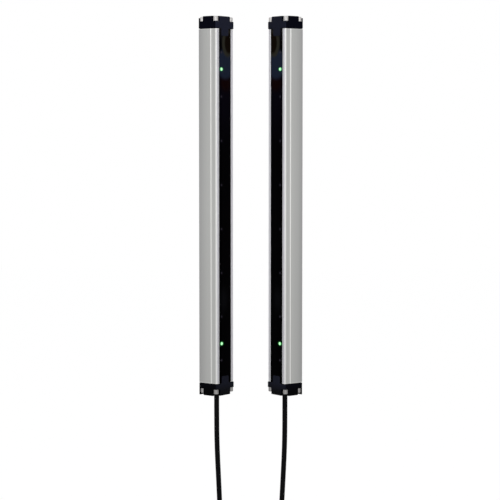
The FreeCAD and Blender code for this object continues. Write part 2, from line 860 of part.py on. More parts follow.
def make_beam_diodes(bar):
    """One diode at the foot of each light tunnel: a square package with a small dome."""
    label = f"{bar['name']}_beam_diodes"
    axis_x = f"{-bar['hand']} * dims.optics_offset"
    face = f"({BEAM_BOARD_FACE} - dims.diode_height)"
    sizes = {"Circumradius": "dims.diode_dome_radius", "Polygon": "dims.hidden_sides"}
    diodes = []
    for height in beam_heights():
        package = box(
            f"{label}_package",
            f"{axis_x} - dims.diode_side / 2",
            f"{axis_x} + dims.diode_side / 2",
            face,
            BEAM_BOARD_FACE,
            f"{height} - dims.diode_side / 2",
            f"{height} + dims.diode_side / 2",
        )
        tip = f"{face} - dims.diode_dome_height"
        dome = facing(f"{label}_dome", "Part::Prism", axis_x, height, tip, face, sizes)
        diodes += [package, dome]
    return joined(label, diodes)


def make_status_indicators(bar):
    """Two round light guides that reach from the board into the window's holes."""
    label = f"{bar['name']}_status_indicators"
    x = f"{bar['hand']} * dims.indicator_offset"
    neck = f"{WINDOW_FACE} + dims.indicator_head"
    guides = []
    for height in indicator_heights():
        head_size = {"Radius": "dims.indicator_radius"}
        stem_size = {"Circumradius": "dims.guide_radius", "Polygon": "dims.hidden_sides"}
        head = facing(f"{label}_head", "Part::Cylinder", x, height, WINDOW_FACE, neck, head_size)
        stem = facing(f"{label}_stem", "Part::Prism", x, height, neck, BEAM_BOARD_FACE, stem_size)
        guides += [head, stem]
    return joined(label, guides)


def make_zone_indicators(bar):
    """A square light guide beside each beam, ending behind the window."""
    label = f"{bar['name']}_zone_indicators"
    x = f"{bar['hand']} * dims.indicator_offset"
    guides = [
        box(
            f"{label}_guide",
            f"{x} - dims.zone_guide / 2",
            f"{x} + dims.zone_guide / 2",
            WINDOW_BACK,
            BEAM_BOARD_FACE,
            f"{height} - dims.zone_guide / 2",
            f"{height} + dims.zone_guide / 2",
        )
        for height in beam_heights()
    ]
    return joined(label, guides)


# ---------------------------------------------------------------- boards


def control_board_span():
    low = f"{LOW_SEAT} + dims.control_board_start"
    return low, f"{low} + dims.control_board_length"


def make_beam_board(bar):
    half_width = "dims.beam_board_width / 2"
    half_length = "dims.beam_board_length / 2"
    return slab(
        f"{bar['name']}_beam_board",
        f"-{half_width}",
        half_width,
        BEAM_BOARD_FACE,
        BEAM_BOARD_BACK,
        f"{MIDDLE} - {half_length}",
        f"{MIDDLE} + {half_length}",
    )


def make_control_board(bar):
    """Board behind the beam board, with its larger chips."""
    label = f"{bar['name']}_control_board"
    low, high = control_board_span()
    face = f"({BEAM_BOARD_BACK} + dims.board_gap)"
    back = f"({BEAM_BOARD_BACK} + dims.board_gap + dims.board_thickness)"
    half_width = "dims.control_board_width / 2"
    pieces = [box(f"{label}_plate", f"-{half_width}", half_width, face, back, low, high)]
    for number in range(int(value("dims.chip_count"))):
        base = f"({low} + {number + 1} * dims.chip_pitch)"
        pieces.append(
            box(
                f"{label}_chip",
                "-dims.chip_side / 2",
                "dims.chip_side / 2",
                back,
                f"{back} + dims.chip_height",
                base,
                f"{base} + dims.chip_side",
            )
        )
    return joined(label, pieces)


def make_board_headers(bar):
    """Two pin headers that join the boards and hold them apart."""
    label = f"{bar['name']}_board_headers"
    low, high = control_board_span()
    headers = []
    for sign in ("-", "+"):
        centre = f"({low} + {high}) / 2 {sign} dims.header_pitch / 2"
        headers.append(
            box(
                f"{label}_block",
                "-dims.header_width / 2",
                "dims.header_width / 2",
                BEAM_BOARD_BACK,
                f"{BEAM_BOARD_BACK} + dims.board_gap",
                f"{centre} - dims.header_length / 2",
                f"{centre} + dims.header_length / 2",
            )
        )
    return joined(label, headers)


def terminal_low():
    return f"({LOW_SEAT} + dims.control_board_start)"


def make_cord_terminal(bar):
    """Terminal block on the control board that the cord's cores go into."""
    low = terminal_low()
    back = f"({BEAM_BOARD_BACK} + dims.board_gap + dims.board_thickness)"
    return slab(
        f"{bar['name']}_cord_terminal",
        "-dims.terminal_width / 2",
        "dims.terminal_width / 2",
        back,
        f"{back} + dims.terminal_depth",
        low,
        f"{low} + dims.terminal_length",
    )


def make_core_bundle(bar):
    """The cores, side by side in a flat bundle from the cord's end to the terminal block."""
    end = value(terminal_low())
    start = value("dims.cord_top")
    setback = value("dims.core_setback")
    knee = start + value("dims.core_rise")
    elbow = end - value("dims.core_drop")
    half_width = value("dims.core_width") / 2
    half_depth = value("dims.core_thickness") / 2
    spine = [(0.0, start), (0.0, knee), (setback, elbow), (setback, end)]
    front = [FreeCAD.Vector(-half_width, y - half_depth, z) for y, z in spine]
    back = [FreeCAD.Vector(-half_width, y + half_depth, z) for y, z in reversed(spine)]
    side = Part.Face(Part.makePolygon([*front, *back, front[0]]))
    bundle = doc.addObject("Part::Feature", f"{bar['name']}_core_bundle")
    bundle.Shape = side.extrude(FreeCAD.Vector(2 * half_width, 0, 0))
    return bundle


# ---------------------------------------------------------------- cord and plug


def make_grommet(bar):
    """Rubber bush round the cord, in the end wall of the lower cap."""
    body = new_body(f"{bar['name']}_cord_grommet")
    sketch = sketch_on(body, "ring")
    polygon(sketch, "0", "0", "dims.grommet_radius", "dims.small_sides")
    circle(sketch, "0", "0", "dims.cord_radius")
    pad(body, sketch, "dims.grommet_length")
    return body


def make_clamp(bar):
    """Block clamped on the cord above the grommet: it takes the pull on the cord."""
    body = new_body(f"{bar['name']}_cord_clamp")
    sketch = sketch_on(body, "plan", offset="dims.grommet_length")
    half = "dims.clamp_side / 2"
    rectangle(sketch, "-dims.clamp_reach", "dims.clamp_reach", f"-{half}", half)
    polygon(sketch, "0", "0", "dims.cord_radius / cos(180 deg / dims.hidden_sides)")
    pad(body, sketch, "dims.clamp_height")
    return body


def make_cord(bar):
    """Free cord; its bend radii and its volume are reported against section times length."""
    radius = value("dims.cord_radius")
    shape, radii, length = tube_along(bar["route"], radius)
    share = shape.Volume / (math.pi * radius**2 * length)
    bends = ", ".join(f"{bend:.0f}" for bend in radii)
    print(f"{bar['name']} cord: length {length:.1f}, volume ratio {share:.4f}, radii {bends}")
    cord = doc.addObject("Part::Feature", f"{bar['name']}_cord")
    cord.Shape = shape
    return cord


def plug_collar_top():
    return "(-dims.plug_boot - dims.plug_shoulder - dims.plug_grip)"


def make_plug_body(bar):
    """Moulded plug with flats all round: a tapered boot, a shoulder and a grip."""
    stations = [
        ("0", "dims.plug_boot_radius"),
        ("-dims.plug_boot", "dims.plug_shoulder_radius"),
        ("-dims.plug_boot - dims.plug_shoulder", "dims.plug_grip_radius"),
        (plug_collar_top(), "dims.plug_grip_radius"),
    ]
    count = int(value("dims.plug_flats"))
    rings = [ring_of_spots(count, value(radius), value(height)) for height, radius in stations]
    faces = [Part.Face(Part.makePolygon([*ring, ring[0]])) for ring in (rings[0], rings[-1])]
    for upper, lower in zip(rings, rings[1:]):
        for number in range(count):
            following = (number + 1) % count
            corners = [upper[number], upper[following], lower[following], lower[number]]
            faces.append(Part.Face(Part.makePolygon([*corners, corners[0]])))
    solid = Part.Solid(Part.Shell(faces))
    if solid.Volume < 0:
        solid.reverse()
    plug = doc.addObject("Part::Feature", f"{bar['name']}_plug_body")
    plug.Shape = solid
    return plug


def ring_of_spots(count, radius, height):
    """Corners of a regular polygon about Z."""
    turns = [2 * math.pi * number / count for number in range(count)]
    return [FreeCAD.Vector(radius * math.cos(a), radius * math.sin(a), height) for a in turns]


def make_plug_collar(bar):
    """Metal ring with flats, and below it the fixed outer thread."""
    label = f"{bar['name']}_plug_collar"
    top = plug_collar_top()
    flange = f"({top} - dims.collar_flange)"
    end = f"({flange} - dims.thread_length)"
    flats = "dims.plug_flats"
    ring = upright_prism(f"{label}_ring", "0", "0", flange, top, "dims.collar_radius", flats)
    thread = upright(f"{label}_thread", "0", "0", end, flange, "dims.thread_radius")
    bore = upright_prism(f"{label}_bore", "0", "0", end, top, "dims.thread_bore", flats)
    return cut(label, joined(f"{label}_blank", [ring, thread]), bore)


def make_plug_insert(bar):
    """Insulating insert inside the collar, with a keyway along one side."""
    body = new_body(f"{bar['name']}_plug_insert")
    sketch = sketch_on(body, "disc", offset=plug_collar_top())
    polygon(sketch, "0", "0", "dims.thread_bore", "dims.plug_flats")
    pad(body, sketch, "dims.insert_length", downwards=True)
    key = sketch_on(body, "keyway", offset=plug_collar_top())
    reach = "dims.thread_bore"
    half = "dims.insert_key"
    rectangle(key, f"-{half}", half, f"{reach} - {half}", f"{reach} + {half}")
    pocket(body, key)
    return body


def pin_spots():
    """The pins' places on their circle."""
    count = int(value("dims.pin_count"))
    turns = [f"{(number + 0.5) * 360 / count} deg" for number in range(count)]
    return [(f"dims.pin_circle * cos({a})", f"dims.pin_circle * sin({a})") for a in turns]


def make_plug_pins(bar):
    """Contact pins, standing on the face of the insert inside the thread."""
    label = f"{bar['name']}_plug_pins"
    root = f"({plug_collar_top()} - dims.insert_length)"
    tip = f"({root} - dims.pin_length)"
    pins = [
        upright_prism(f"{label}_pin", x, y, tip, root, "dims.pin_radius") for x, y in pin_spots()
    ]
    return joined(label, pins)


# ---------------------------------------------------------------- the whole pair


def make_bar(bar):
    """Every piece of one bar, then its cord and plug."""
    in_bar = [
        make_profile(bar),
        make_window(bar),
        make_window_seal(bar),
        make_optics_rail(bar),
        make_lens_strip(bar),
        make_beam_diodes(bar),
        make_status_indicators(bar),
        make_zone_indicators(bar),
        make_beam_board(bar),
        make_control_board(bar),
        make_board_headers(bar),
        make_cord_terminal(bar),
        make_core_bundle(bar),
        make_grommet(bar),
        make_clamp(bar),
    ]
    for end in ("top", "bottom"):
        in_bar += [make_cap(bar, end), make_gasket(bar, end), make_screws(bar, end)]
    for piece in in_bar:
        place_in_bar(piece, bar)
    nodes.append(make_cord(bar))
    for make in (make_plug_body, make_plug_collar, make_plug_insert, make_plug_pins):
        place_on_cord(make(bar), bar)


def check_document():
    """Stop if an object failed, or if a node has no sound shape."""
    for item in doc.Objects:
        if "Invalid" in item.State or "Error" in item.State:
            raise RuntimeError(f"{item.Label} failed: {item.State}")
    for node in nodes:
        if node.Shape.isNull() or not node.Shape.isValid() or not node.Shape.Solids:
            raise RuntimeError(f"{node.Label} has no valid solid")


def export():
    os.makedirs("parts", exist_ok=True)
    for node in nodes:
        node.Shape.exportStep(f"parts/{node.Label}.step")
    print(f"{len(nodes)} nodes written")


fill_sheet()
# The indicator column is on the outer side of each window: hand is its sign in the bar's frame,
# and turn is the sense in which the bar's front is turned towards the other bar.
for bar_name, bar_turn in (("emitter", 1), ("receiver", -1)):
    make_bar(
        {
            "name": bar_name,
            "turn": bar_turn,
            "hand": -bar_turn,
            "route": CORD_ROUTES[bar_name],
        }
    )
doc.recompute()
check_document()
export()
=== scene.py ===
# %% [markdown]
# # A safety light curtain
#
# A light curtain guards a machine. It is a pair of slim bars: the emitter sends a row of infrared
# beams across a gap, and the receiver watches for them. Each bar is an aluminium section with a
# dark window, a moulded cap on each end, and a cord that hangs from the lower cap.
#
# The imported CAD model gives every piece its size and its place. This file dresses it: it loads
# that model, sets up the camera and the cords, then gives each piece its finish and the fine
# detail that a CAD model leaves out. Lengths are in metres.

# %% Load the frame
import math

import bmesh
import bpy
from mathutils import Matrix, Vector


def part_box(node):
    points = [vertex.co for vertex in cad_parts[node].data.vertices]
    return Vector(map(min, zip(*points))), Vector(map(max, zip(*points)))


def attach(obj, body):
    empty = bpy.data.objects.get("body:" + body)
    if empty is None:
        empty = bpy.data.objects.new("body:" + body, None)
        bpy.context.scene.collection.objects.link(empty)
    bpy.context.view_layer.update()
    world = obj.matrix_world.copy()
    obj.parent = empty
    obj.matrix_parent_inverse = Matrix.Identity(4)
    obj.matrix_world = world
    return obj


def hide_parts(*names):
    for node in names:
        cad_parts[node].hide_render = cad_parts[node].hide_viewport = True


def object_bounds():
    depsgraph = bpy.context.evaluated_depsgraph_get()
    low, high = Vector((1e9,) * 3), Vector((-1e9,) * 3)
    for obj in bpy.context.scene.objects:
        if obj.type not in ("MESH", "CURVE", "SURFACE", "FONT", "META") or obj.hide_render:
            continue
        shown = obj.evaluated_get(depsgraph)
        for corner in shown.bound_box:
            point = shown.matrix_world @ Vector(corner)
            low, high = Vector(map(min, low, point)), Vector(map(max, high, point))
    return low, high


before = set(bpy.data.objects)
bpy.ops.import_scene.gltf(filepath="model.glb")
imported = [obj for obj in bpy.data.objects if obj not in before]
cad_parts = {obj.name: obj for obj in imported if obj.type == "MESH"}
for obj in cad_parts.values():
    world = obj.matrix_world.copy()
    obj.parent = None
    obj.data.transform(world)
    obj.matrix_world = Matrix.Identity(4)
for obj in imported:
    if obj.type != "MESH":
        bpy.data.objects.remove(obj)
CAD_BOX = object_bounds()
MM = 0.001
BODY = "root"
print("CAD box in millimetres:", [[round(value / MM, 1) for value in corner] for corner in CAD_BOX])

# %% [markdown]
# ## Where the bars stand
#
# Both bars are drawn in a frame of their own, with x across the section, y through it (the window
# at -y) and z up, and are then turned about z towards each other. One matrix for each bar takes a
# point from that frame into the scene, so that every detail is described once and made twice.

# %% The two bars
FACE_TURN = math.radians(52)
BARS = {}


def middle_of(node):
    """The centre of a node's box."""
    low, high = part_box(node)
    return (Vector(low) + Vector(high)) / 2


for bar, turn in (("emitter", 1), ("receiver", -1)):
    axis_x = middle_of(f"{bar}_cord_grommet").x
    place = Matrix.Translation((axis_x, 0, 0)) @ Matrix.Rotation(turn * FACE_TURN, 4, "Z")
    BARS[bar] = {"place": place, "hand": -turn, "axis_x": axis_x}
    degrees = turn * math.degrees(FACE_TURN)
    print(f"{bar}: axis at x = {axis_x / MM:.1f} mm, turned by {degrees:.0f} degrees")


def height_of(node):
    """A node's lowest and highest z."""
    low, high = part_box(node)
    return low[2], high[2]


SECTION_LOW, SECTION_HIGH = height_of("emitter_profile")
SECTION_MIDDLE = (SECTION_LOW + SECTION_HIGH) / 2
CAP_TOP = height_of("emitter_top_cap")[1]
HALF_DEPTH = 13.25 * MM
WINDOW_RECESS = 0.8 * MM
WINDOW_FACE = -HALF_DEPTH + WINDOW_RECESS
print(f"section from {SECTION_LOW / MM:.1f} to {SECTION_HIGH / MM:.1f} mm, top {CAP_TOP / MM:.1f}")

# %% [markdown]
# ## Camera
#
# The bars are tall and thin, so the camera stands well back with a long lens, which keeps their
# edges almost parallel. It is a little above the middle of the bars and looks slightly down.

# %% Camera
SENSOR_WIDTH = 36.0
LENS = 123.6
CAMERA_DISTANCE = 2.0
VIEW_DEPTH = 50.0
CAMERA_PITCH = math.radians(3.8)
LOOK_AT = Vector((-0.9 * MM, 0, 169 * MM))

camera_data = bpy.data.cameras.new("camera")
camera_data.sensor_width = SENSOR_WIDTH
camera_data.lens = LENS
camera_data.clip_end = VIEW_DEPTH
camera = bpy.data.objects.new("camera", camera_data)
bpy.context.collection.objects.link(camera)
backwards = Vector((0, -math.cos(CAMERA_PITCH), math.sin(CAMERA_PITCH)))
camera.location = LOOK_AT + CAMERA_DISTANCE * backwards
camera.rotation_euler = (math.pi / 2 - CAMERA_PITCH, 0, 0)
bpy.context.scene.camera = camera
bpy.context.scene.view_settings.view_transform = "Standard"
print("camera at", [round(value, 3) for value in camera.location])

# %% [markdown]
# ## Cords
#
# A thin jacketed cord comes out of the middle of each lower cap and hangs down, leaning a little
# towards the other bar. A hanging cord is one smooth line, so it is a NURBS spline with a round
# bevel: a few given control points give it its slight, uneven lean. The order and the end points
# are set after the points are there, or Blender keeps the spline straight between them.

# %% Cord routes, in millimetres
CORD_RADIUS = 3.0 * MM
CORD_ROUNDNESS = 8
CORD_STEPS = 24
CORD_ROUTES = {
    "emitter": [
        (-40.0, 0.0, 9.4),
        (-40.0, 0.0, -20.0),
        (-39.7, -0.6, -60.0),
        (-37.2, -1.7, -112.0),
        (-35.5, -2.1, -156.0),
        (-35.5, -2.1, -196.0),
    ],
    "receiver": [
        (40.0, 0.0, 9.4),
        (40.0, 0.0, -20.0),
        (39.8, -0.5, -60.0),
        (37.3, -1.6, -112.0),
        (35.0, -2.0, -155.0),
        (35.0, -2.0, -194.5),
    ],
}
for bar, route in CORD_ROUTES.items():
    print(f"{bar} cord: {len(route)} control points, down to z = {route[-1][2]} mm")

# %% Cord splines


def cord_curve(name, route):
    """A round cord along a smooth spline."""
    curve = bpy.data.curves.new(name, "CURVE")
    curve.dimensions = "3D"
    curve.bevel_depth = CORD_RADIUS
    curve.bevel_resolution = CORD_ROUNDNESS
    curve.resolution_u = CORD_STEPS
    spline = curve.splines.new("NURBS")
    spline.points.add(len(route) - 1)
    for spline_point, spot in zip(spline.points, route):
        spline_point.co = (*(value * MM for value in spot), 1.0)
    spline.order_u = 3
    spline.use_endpoint_u = True
    cord = bpy.data.objects.new(name, curve)
    bpy.context.collection.objects.link(cord)
    return cord, spline.calc_length()


cords = {}
for bar, route in CORD_ROUTES.items():
    cord, length = cord_curve(f"{bar}_free_cord", route)
    cords[bar] = {"object": cord, "length": length, "end": Vector(route[-1]) * MM}
    print(f"{bar} cord: {length / MM:.1f} mm long")

# %% [markdown]
# ## Stage and light
#
# The object is shown on white. The world is white to rays that come straight from the camera. A
# mirror-like surface sees a grey room instead, light in front and behind and darker at the sides,
# because that is what gives bare metal its bands: an evenly lit room would make it look like
# paint. Everything else gets a plain soft light, at a level at which colours look as written.

# %% Nodes and links


def link(tree, source, target):
    """Join an output to an input."""
    tree.links.new(source, target)


def add_node(tree, kind, inputs=None, **settings):
    """A node with its settings, and with plain values or links on its named inputs."""
    made = tree.nodes.new(kind)
    for key, setting in settings.items():
        setattr(made, key, setting)
    for key, source in (inputs or {}).items():
        if isinstance(source, bpy.types.NodeSocket):
            link(tree, source, made.inputs[key])
        else:
            made.inputs[key].default_value = source
    return made


# %% Numbers and vectors in a tree
NUMBER_RESULTS = {"LENGTH", "DOT_PRODUCT"}
SMOOTH = {"interpolation_type": "SMOOTHSTEP"}


def math_node(tree, operation, *values):
    """The result of a maths node on sockets or plain numbers."""
    return add_node(tree, "ShaderNodeMath", dict(enumerate(values)), operation=operation).outputs[0]


def vector_math(tree, operation, *values):
    """The result of a vector maths node: a number for a length or a dot product."""
    made = add_node(tree, "ShaderNodeVectorMath", dict(enumerate(values)), operation=operation)
    return made.outputs["Value" if operation in NUMBER_RESULTS else "Vector"]


def vector(tree, x=0.0, y=0.0, z=0.0):
    """A vector from three sockets or plain numbers."""
    return add_node(tree, "ShaderNodeCombineXYZ", {"X": x, "Y": y, "Z": z}).outputs[0]


def axes_of(tree, point):
    """The X, Y and Z of a vector."""
    return add_node(tree, "ShaderNodeSeparateXYZ", {0: point}).outputs


def object_point(tree):
    """The shaded point in the piece's own space."""
    return add_node(tree, "ShaderNodeTexCoord").outputs["Object"]


def level_between(tree, value, low, high, first=0.0, last=1.0, **settings):
    """A level that goes from first to last while a value goes from low to high."""
    inputs = {"Value": value, "From Min": low, "From Max": high, "To Min": first, "To Max": last}
    return add_node(tree, "ShaderNodeMapRange", inputs, **settings).outputs["Result"]


# %% Room levels, from the front to the back
ROOM_LEVELS = (
    (-1.0, 0.95),
    (-0.56, 0.66),
    (-0.24, 0.47),
    (0.05, 0.45),
    (0.24, 0.90),
    (0.6, 0.98),
    (1.0, 1.0),
)


def number_ramp(tree, value, stops):
    """Levels between stops: each stop is a place from 0 to 1 and a level."""
    ramp = add_node(tree, "ShaderNodeValToRGB", {"Fac": value})
    elements = ramp.color_ramp.elements
    while len(elements) < len(stops):
        elements.new(0.5)
    for element, (spot, level) in zip(elements, stops):
        element.position = spot
        element.color = (level, level, level, 1)
    return ramp.outputs["Color"]


def room_levels(tree, direction):
    """The room's brightness in a direction, from its y, -1 in front to 1 behind."""
    share = level_between(tree, axes_of(tree, direction)["Y"], -1.0, 1.0)
    return number_ramp(tree, share, [((spot + 1) / 2, level) for spot, level in ROOM_LEVELS])


print("room:", len(ROOM_LEVELS), "levels from front to back")

# %% World
WHITE = (1.0, 1.0, 1.0, 1.0)
ROOM_DIFFUSE = 0.77
ROOM_TINT = (0.98, 0.985, 1.0, 1.0)


def mix_shader(tree, share, first, second):
    """Two shaders, of which the second has the given share."""
    return add_node(tree, "ShaderNodeMixShader", {0: share, 1: first, 2: second}).outputs[0]


def background(tree, color, strength):
    """A world shader of one colour."""
    inputs = {"Color": color, "Strength": strength}
    return add_node(tree, "ShaderNodeBackground", inputs).outputs[0]


world = bpy.data.worlds.new("studio")
bpy.context.scene.world = world
world.use_nodes = True
sky = world.node_tree
sky.nodes.clear()
levels = room_levels(sky, add_node(sky, "ShaderNodeTexCoord").outputs["Generated"])
mirrored = background(sky, levels, 1.0)
soft = background(sky, ROOM_TINT, ROOM_DIFFUSE)
paths = add_node(sky, "ShaderNodeLightPath").outputs
by_mirror = mix_shader(sky, paths["Is Glossy Ray"], soft, mirrored)
straight = math_node(sky, "MAXIMUM", paths["Is Camera Ray"], paths["Is Transmission Ray"])
seen = mix_shader(sky, straight, by_mirror, background(sky, WHITE, 1.0))
add_node(sky, "ShaderNodeOutputWorld", {"Surface": seen})
print("world: white behind, grey room for reflections")

# %% Floor, well below the plugs
FLOOR_DROP = 70 * MM
FLOOR_HALF = 6.0

floor_height = CAD_BOX[0][2] - FLOOR_DROP
floor_corners = [
    (x * FLOOR_HALF, y * FLOOR_HALF, floor_height) for x, y in ((-1, -1), (1, -1), (1, 1), (-1, 1))
]
floor_mesh = bpy.data.meshes.new("floor")
floor_mesh.from_pydata(floor_corners, [], [(0, 1, 2, 3)])
floor = bpy.data.objects.new("floor", floor_mesh)
bpy.context.collection.objects.link(floor)
print(f"floor at z = {floor_height / MM:.0f} mm")

# %% Floor paint: nearly white to the camera, so that a soft shadow still shows
FLOOR_GREY = (0.86, 0.86, 0.86, 1.0)
FLOOR_ROUGHNESS = 0.9
FLOOR_WHITENING = 0.90
FLOOR_WHITE = 1.035

floor_paint = bpy.data.materials.new("floor_paint")
floor_paint.use_nodes = True
tree = floor_paint.node_tree
matt = tree.nodes["Principled BSDF"]
matt.inputs["Base Color"].default_value = FLOOR_GREY
matt.inputs["Roughness"].default_value = FLOOR_ROUGHNESS
levels = room_levels(tree, vector_math(tree, "NORMALIZE", object_point(tree)))
mirrored = add_node(tree, "ShaderNodeEmission", {"Color": levels, "Strength": 1.0})
lit = add_node(tree, "ShaderNodeEmission", {"Color": WHITE, "Strength": FLOOR_WHITE})
paths = add_node(tree, "ShaderNodeLightPath").outputs
whitening = math_node(tree, "MULTIPLY", paths["Is Camera Ray"], FLOOR_WHITENING)
by_camera = mix_shader(tree, whitening, matt.outputs[0], lit.outputs[0])
by_mirror = mix_shader(tree, paths["Is Glossy Ray"], by_camera, mirrored.outputs[0])
link(tree, by_mirror, tree.nodes["Material Output"].inputs["Surface"])
floor_mesh.materials.append(floor_paint)
print("floor paint:", len(tree.nodes), "nodes")

# %% One soft lamp, above the camera
LAMP_PLACE = Vector((0.0, -2.6, 2.0))
LAMP_SIZE = 2.0
LAMP_POWER = 26

lamp_data = bpy.data.lights.new("front_lamp", "AREA")
lamp_data.shape = "SQUARE"
lamp_data.size = LAMP_SIZE
lamp_data.energy = LAMP_POWER
lamp = bpy.data.objects.new("front_lamp", lamp_data)
lamp.location = LAMP_PLACE
aim = Vector((0, 0, SECTION_MIDDLE)) - LAMP_PLACE
lamp.rotation_euler = aim.to_track_quat("-Z", "Y").to_euler()
bpy.context.collection.objects.link(lamp)
print(f"lamp: {LAMP_POWER} W, {LAMP_SIZE} m across, aimed at the bars' middle")

# %% [markdown]
# ## Shared shader effects
#
# Real surfaces are never one flat value. A few effects come back in many of the materials, so
# each is a node group with named inputs. Bar place gives the point in a bar's own frame, folded
# so that both bars share one pattern. Fine grain varies a value a little. Extrusion lines run
# along the bar. Round patch is a soft spot. Edge wear and highlight finds the edges: it marks
# where a part is handled and rubs bright, and on the caps it carries a painted highlight. A group
# only puts out masks and values: the shader stays in each material.

# %% Node group helpers
FLOAT = "NodeSocketFloat"
VECTOR = "NodeSocketVector"


def new_group(name, inputs, outputs):
    """An empty shader node group; inputs map a name to a kind and a start value."""
    group = bpy.data.node_groups.new(name, "ShaderNodeTree")
    for label, (kind, start) in inputs.items():
        socket = group.interface.new_socket(label, in_out="INPUT", socket_type=kind)
        if start is not None:
            socket.default_value = start
    for label, kind in outputs.items():
        group.interface.new_socket(label, in_out="OUTPUT", socket_type=kind)
    entry = group.nodes.new("NodeGroupInput").outputs
    leave = group.nodes.new("NodeGroupOutput").inputs
    print("shader group:", name)
    return group, entry, leave


def noise_at(tree, point, scale, detail=3.0):
    """Soft noise from 0 to 1 at a point."""
    inputs = {"Vector": point, "Scale": scale, "Detail": detail}
    return add_node(tree, "ShaderNodeTexNoise", inputs).outputs["Fac"]


# %% Bar place: the point in a bar's own frame, the same for both bars
bar_place, entry, leave = new_group("bar_place", {}, {"Place": VECTOR})
own = axes_of(bar_place, object_point(bar_place))
outwards = math_node(bar_place, "ABSOLUTE", own["X"])
inwards = math_node(bar_place, "SUBTRACT", BARS["receiver"]["axis_x"], outwards)
turned = add_node(
    bar_place,
    "ShaderNodeVectorRotate",
    {"Vector": vector(bar_place, inwards, own["Y"], own["Z"]), "Angle": -FACE_TURN},
    rotation_type="Z_AXIS",
)
link(bar_place, turned.outputs[0], leave["Place"])

# %% Fine grain: a small noise about a middle value
grain, entry, leave = new_group(
    "fine_grain",
    {"Scale": (FLOAT, 900.0), "Middle": (FLOAT, 0.5), "Spread": (FLOAT, 0.1)},
    {"Value": FLOAT, "Mask": FLOAT},
)
speckle = noise_at(grain, object_point(grain), entry["Scale"])
centred = math_node(grain, "SUBTRACT", speckle, 0.5)
varied = math_node(grain, "MULTIPLY_ADD", centred, entry["Spread"], entry["Middle"])
link(grain, varied, leave["Value"])
link(grain, speckle, leave["Mask"])

# %% Extrusion lines: noise stretched along the bar, and a slow cloud
LINE_DETAIL = 4.0
CLOUD_SCALE = 14.0
CLOUD_DETAIL = 2.0

lines, entry, leave = new_group(
    "extrusion_lines",
    {"Across": (FLOAT, 1500.0), "Along": (FLOAT, 3.0)},
    {"Lines": FLOAT, "Cloud": FLOAT},
)
point = object_point(lines)
stretch = vector(lines, entry["Across"], entry["Across"], entry["Along"])
stretched = vector_math(lines, "MULTIPLY", point, stretch)
link(lines, noise_at(lines, stretched, 1.0, LINE_DETAIL), leave["Lines"])
link(lines, noise_at(lines, point, CLOUD_SCALE, CLOUD_DETAIL), leave["Cloud"])

# %% Round patch: 1 at its centre, fading to 0 at its rim, as wide and as tall as asked
patch, entry, leave = new_group(
    "round_patch",
    {"Centre": (VECTOR, None), "Size": (VECTOR, (0.01, 1.0, 0.01)), "Core": (FLOAT, 0.5)},
    {"Mask": FLOAT},
)
own_point = add_node(patch, "ShaderNodeGroup", node_tree=bar_place).outputs["Place"]
offset = vector_math(patch, "SUBTRACT", own_point, entry["Centre"])
distance = vector_math(patch, "LENGTH", vector_math(patch, "DIVIDE", offset, entry["Size"]))
link(patch, level_between(patch, distance, entry["Core"], 1.0, 1.0, 0.0, **SMOOTH), leave["Mask"])

# %% Edge wear and edge highlight: where the surface bends within a small radius, broken up by noise
EDGE_BEND = (0.995, 0.85)
EDGE_BREAKS = (0.35, 0.65)
EDGE_RAYS = 4

wear_and_highlight, entry, leave = new_group(
    "edge_wear_and_highlight", {"Radius": (FLOAT, 0.4 * MM), "Breaks": (FLOAT, 600.0)}, {"Mask": FLOAT}
)
rounded = add_node(wear_and_highlight, "ShaderNodeBevel", {"Radius": entry["Radius"]}, samples=EDGE_RAYS)
surface = add_node(wear_and_highlight, "ShaderNodeNewGeometry").outputs["Normal"]
bend = vector_math(wear_and_highlight, "DOT_PRODUCT", rounded.outputs[0], surface)
edge = level_between(wear_and_highlight, bend, *EDGE_BEND)
patchy = level_between(wear_and_highlight, noise_at(wear_and_highlight, object_point(wear_and_highlight), entry["Breaks"]), *EDGE_BREAKS)
link(wear_and_highlight, math_node(wear_and_highlight, "MULTIPLY", edge, patchy), leave["Mask"])

# %% [markdown]
# ## Materials
#
# Each finish starts from plain values on the shader's own sockets, and then gets what varies:
# grain in the gloss, a second tone in the colour, wear along the edges, and a bump for what can
# be felt. Some finishes also carry painted shade and painted highlights in their colour. The
# small values matter more than the main colour: they are what the light plays on.

# %% Material helpers
BUMP_DEPTH = 0.02 * MM


def principled(name, color, roughness, **values):
    """A material with a Principled shader and its plain values."""
    material = bpy.data.materials.new(name)
    material.use_nodes = True
    made = material.node_tree.nodes["Principled BSDF"]
    made.inputs["Base Color"].default_value = (*color, 1)
    made.inputs["Roughness"].default_value = roughness
    for socket, number in values.items():
        made.inputs[socket.replace("_", " ")].default_value = number
    return material, material.node_tree, made


def use_group(tree, group, **values):
    """A shared group placed in a material, with its own values; returns its outputs."""
    inputs = {socket.replace("_", " "): number for socket, number in values.items()}
    return add_node(tree, "ShaderNodeGroup", inputs, node_tree=group).outputs


def own_axes(tree):
    """The X, Y and Z of the point in the bar's own frame."""
    return axes_of(tree, use_group(tree, bar_place)["Place"])


def grainy_gloss(tree, made, scale, middle, spread):
    """Vary the roughness about its middle; returns the grain's outputs."""
    fine = use_group(tree, grain, Scale=scale, Middle=middle, Spread=spread)
    link(tree, fine["Value"], made.inputs["Roughness"])
    return fine


def add_bump(tree, made, height, strength):
    """Turn a height into the shader's normal."""
    inputs = {"Strength": strength, "Distance": BUMP_DEPTH, "Height": height}
    link(tree, add_node(tree, "ShaderNodeBump", inputs).outputs[0], made.inputs["Normal"])


# %% Colour helpers
def mix_color(tree, factor, first, second):
    """A colour between two, each a socket or plain red, green and blue."""
    colors = [c if isinstance(c, bpy.types.NodeSocket) else (*c, 1) for c in (first, second)]
    inputs = {"Factor": factor, "A": colors[0], "B": colors[1]}
    return add_node(tree, "ShaderNodeMix", inputs, data_type="RGBA").outputs["Result"]


def shade(color, factor):
    """A plain colour made lighter or darker."""
    return tuple(channel * factor for channel in color)


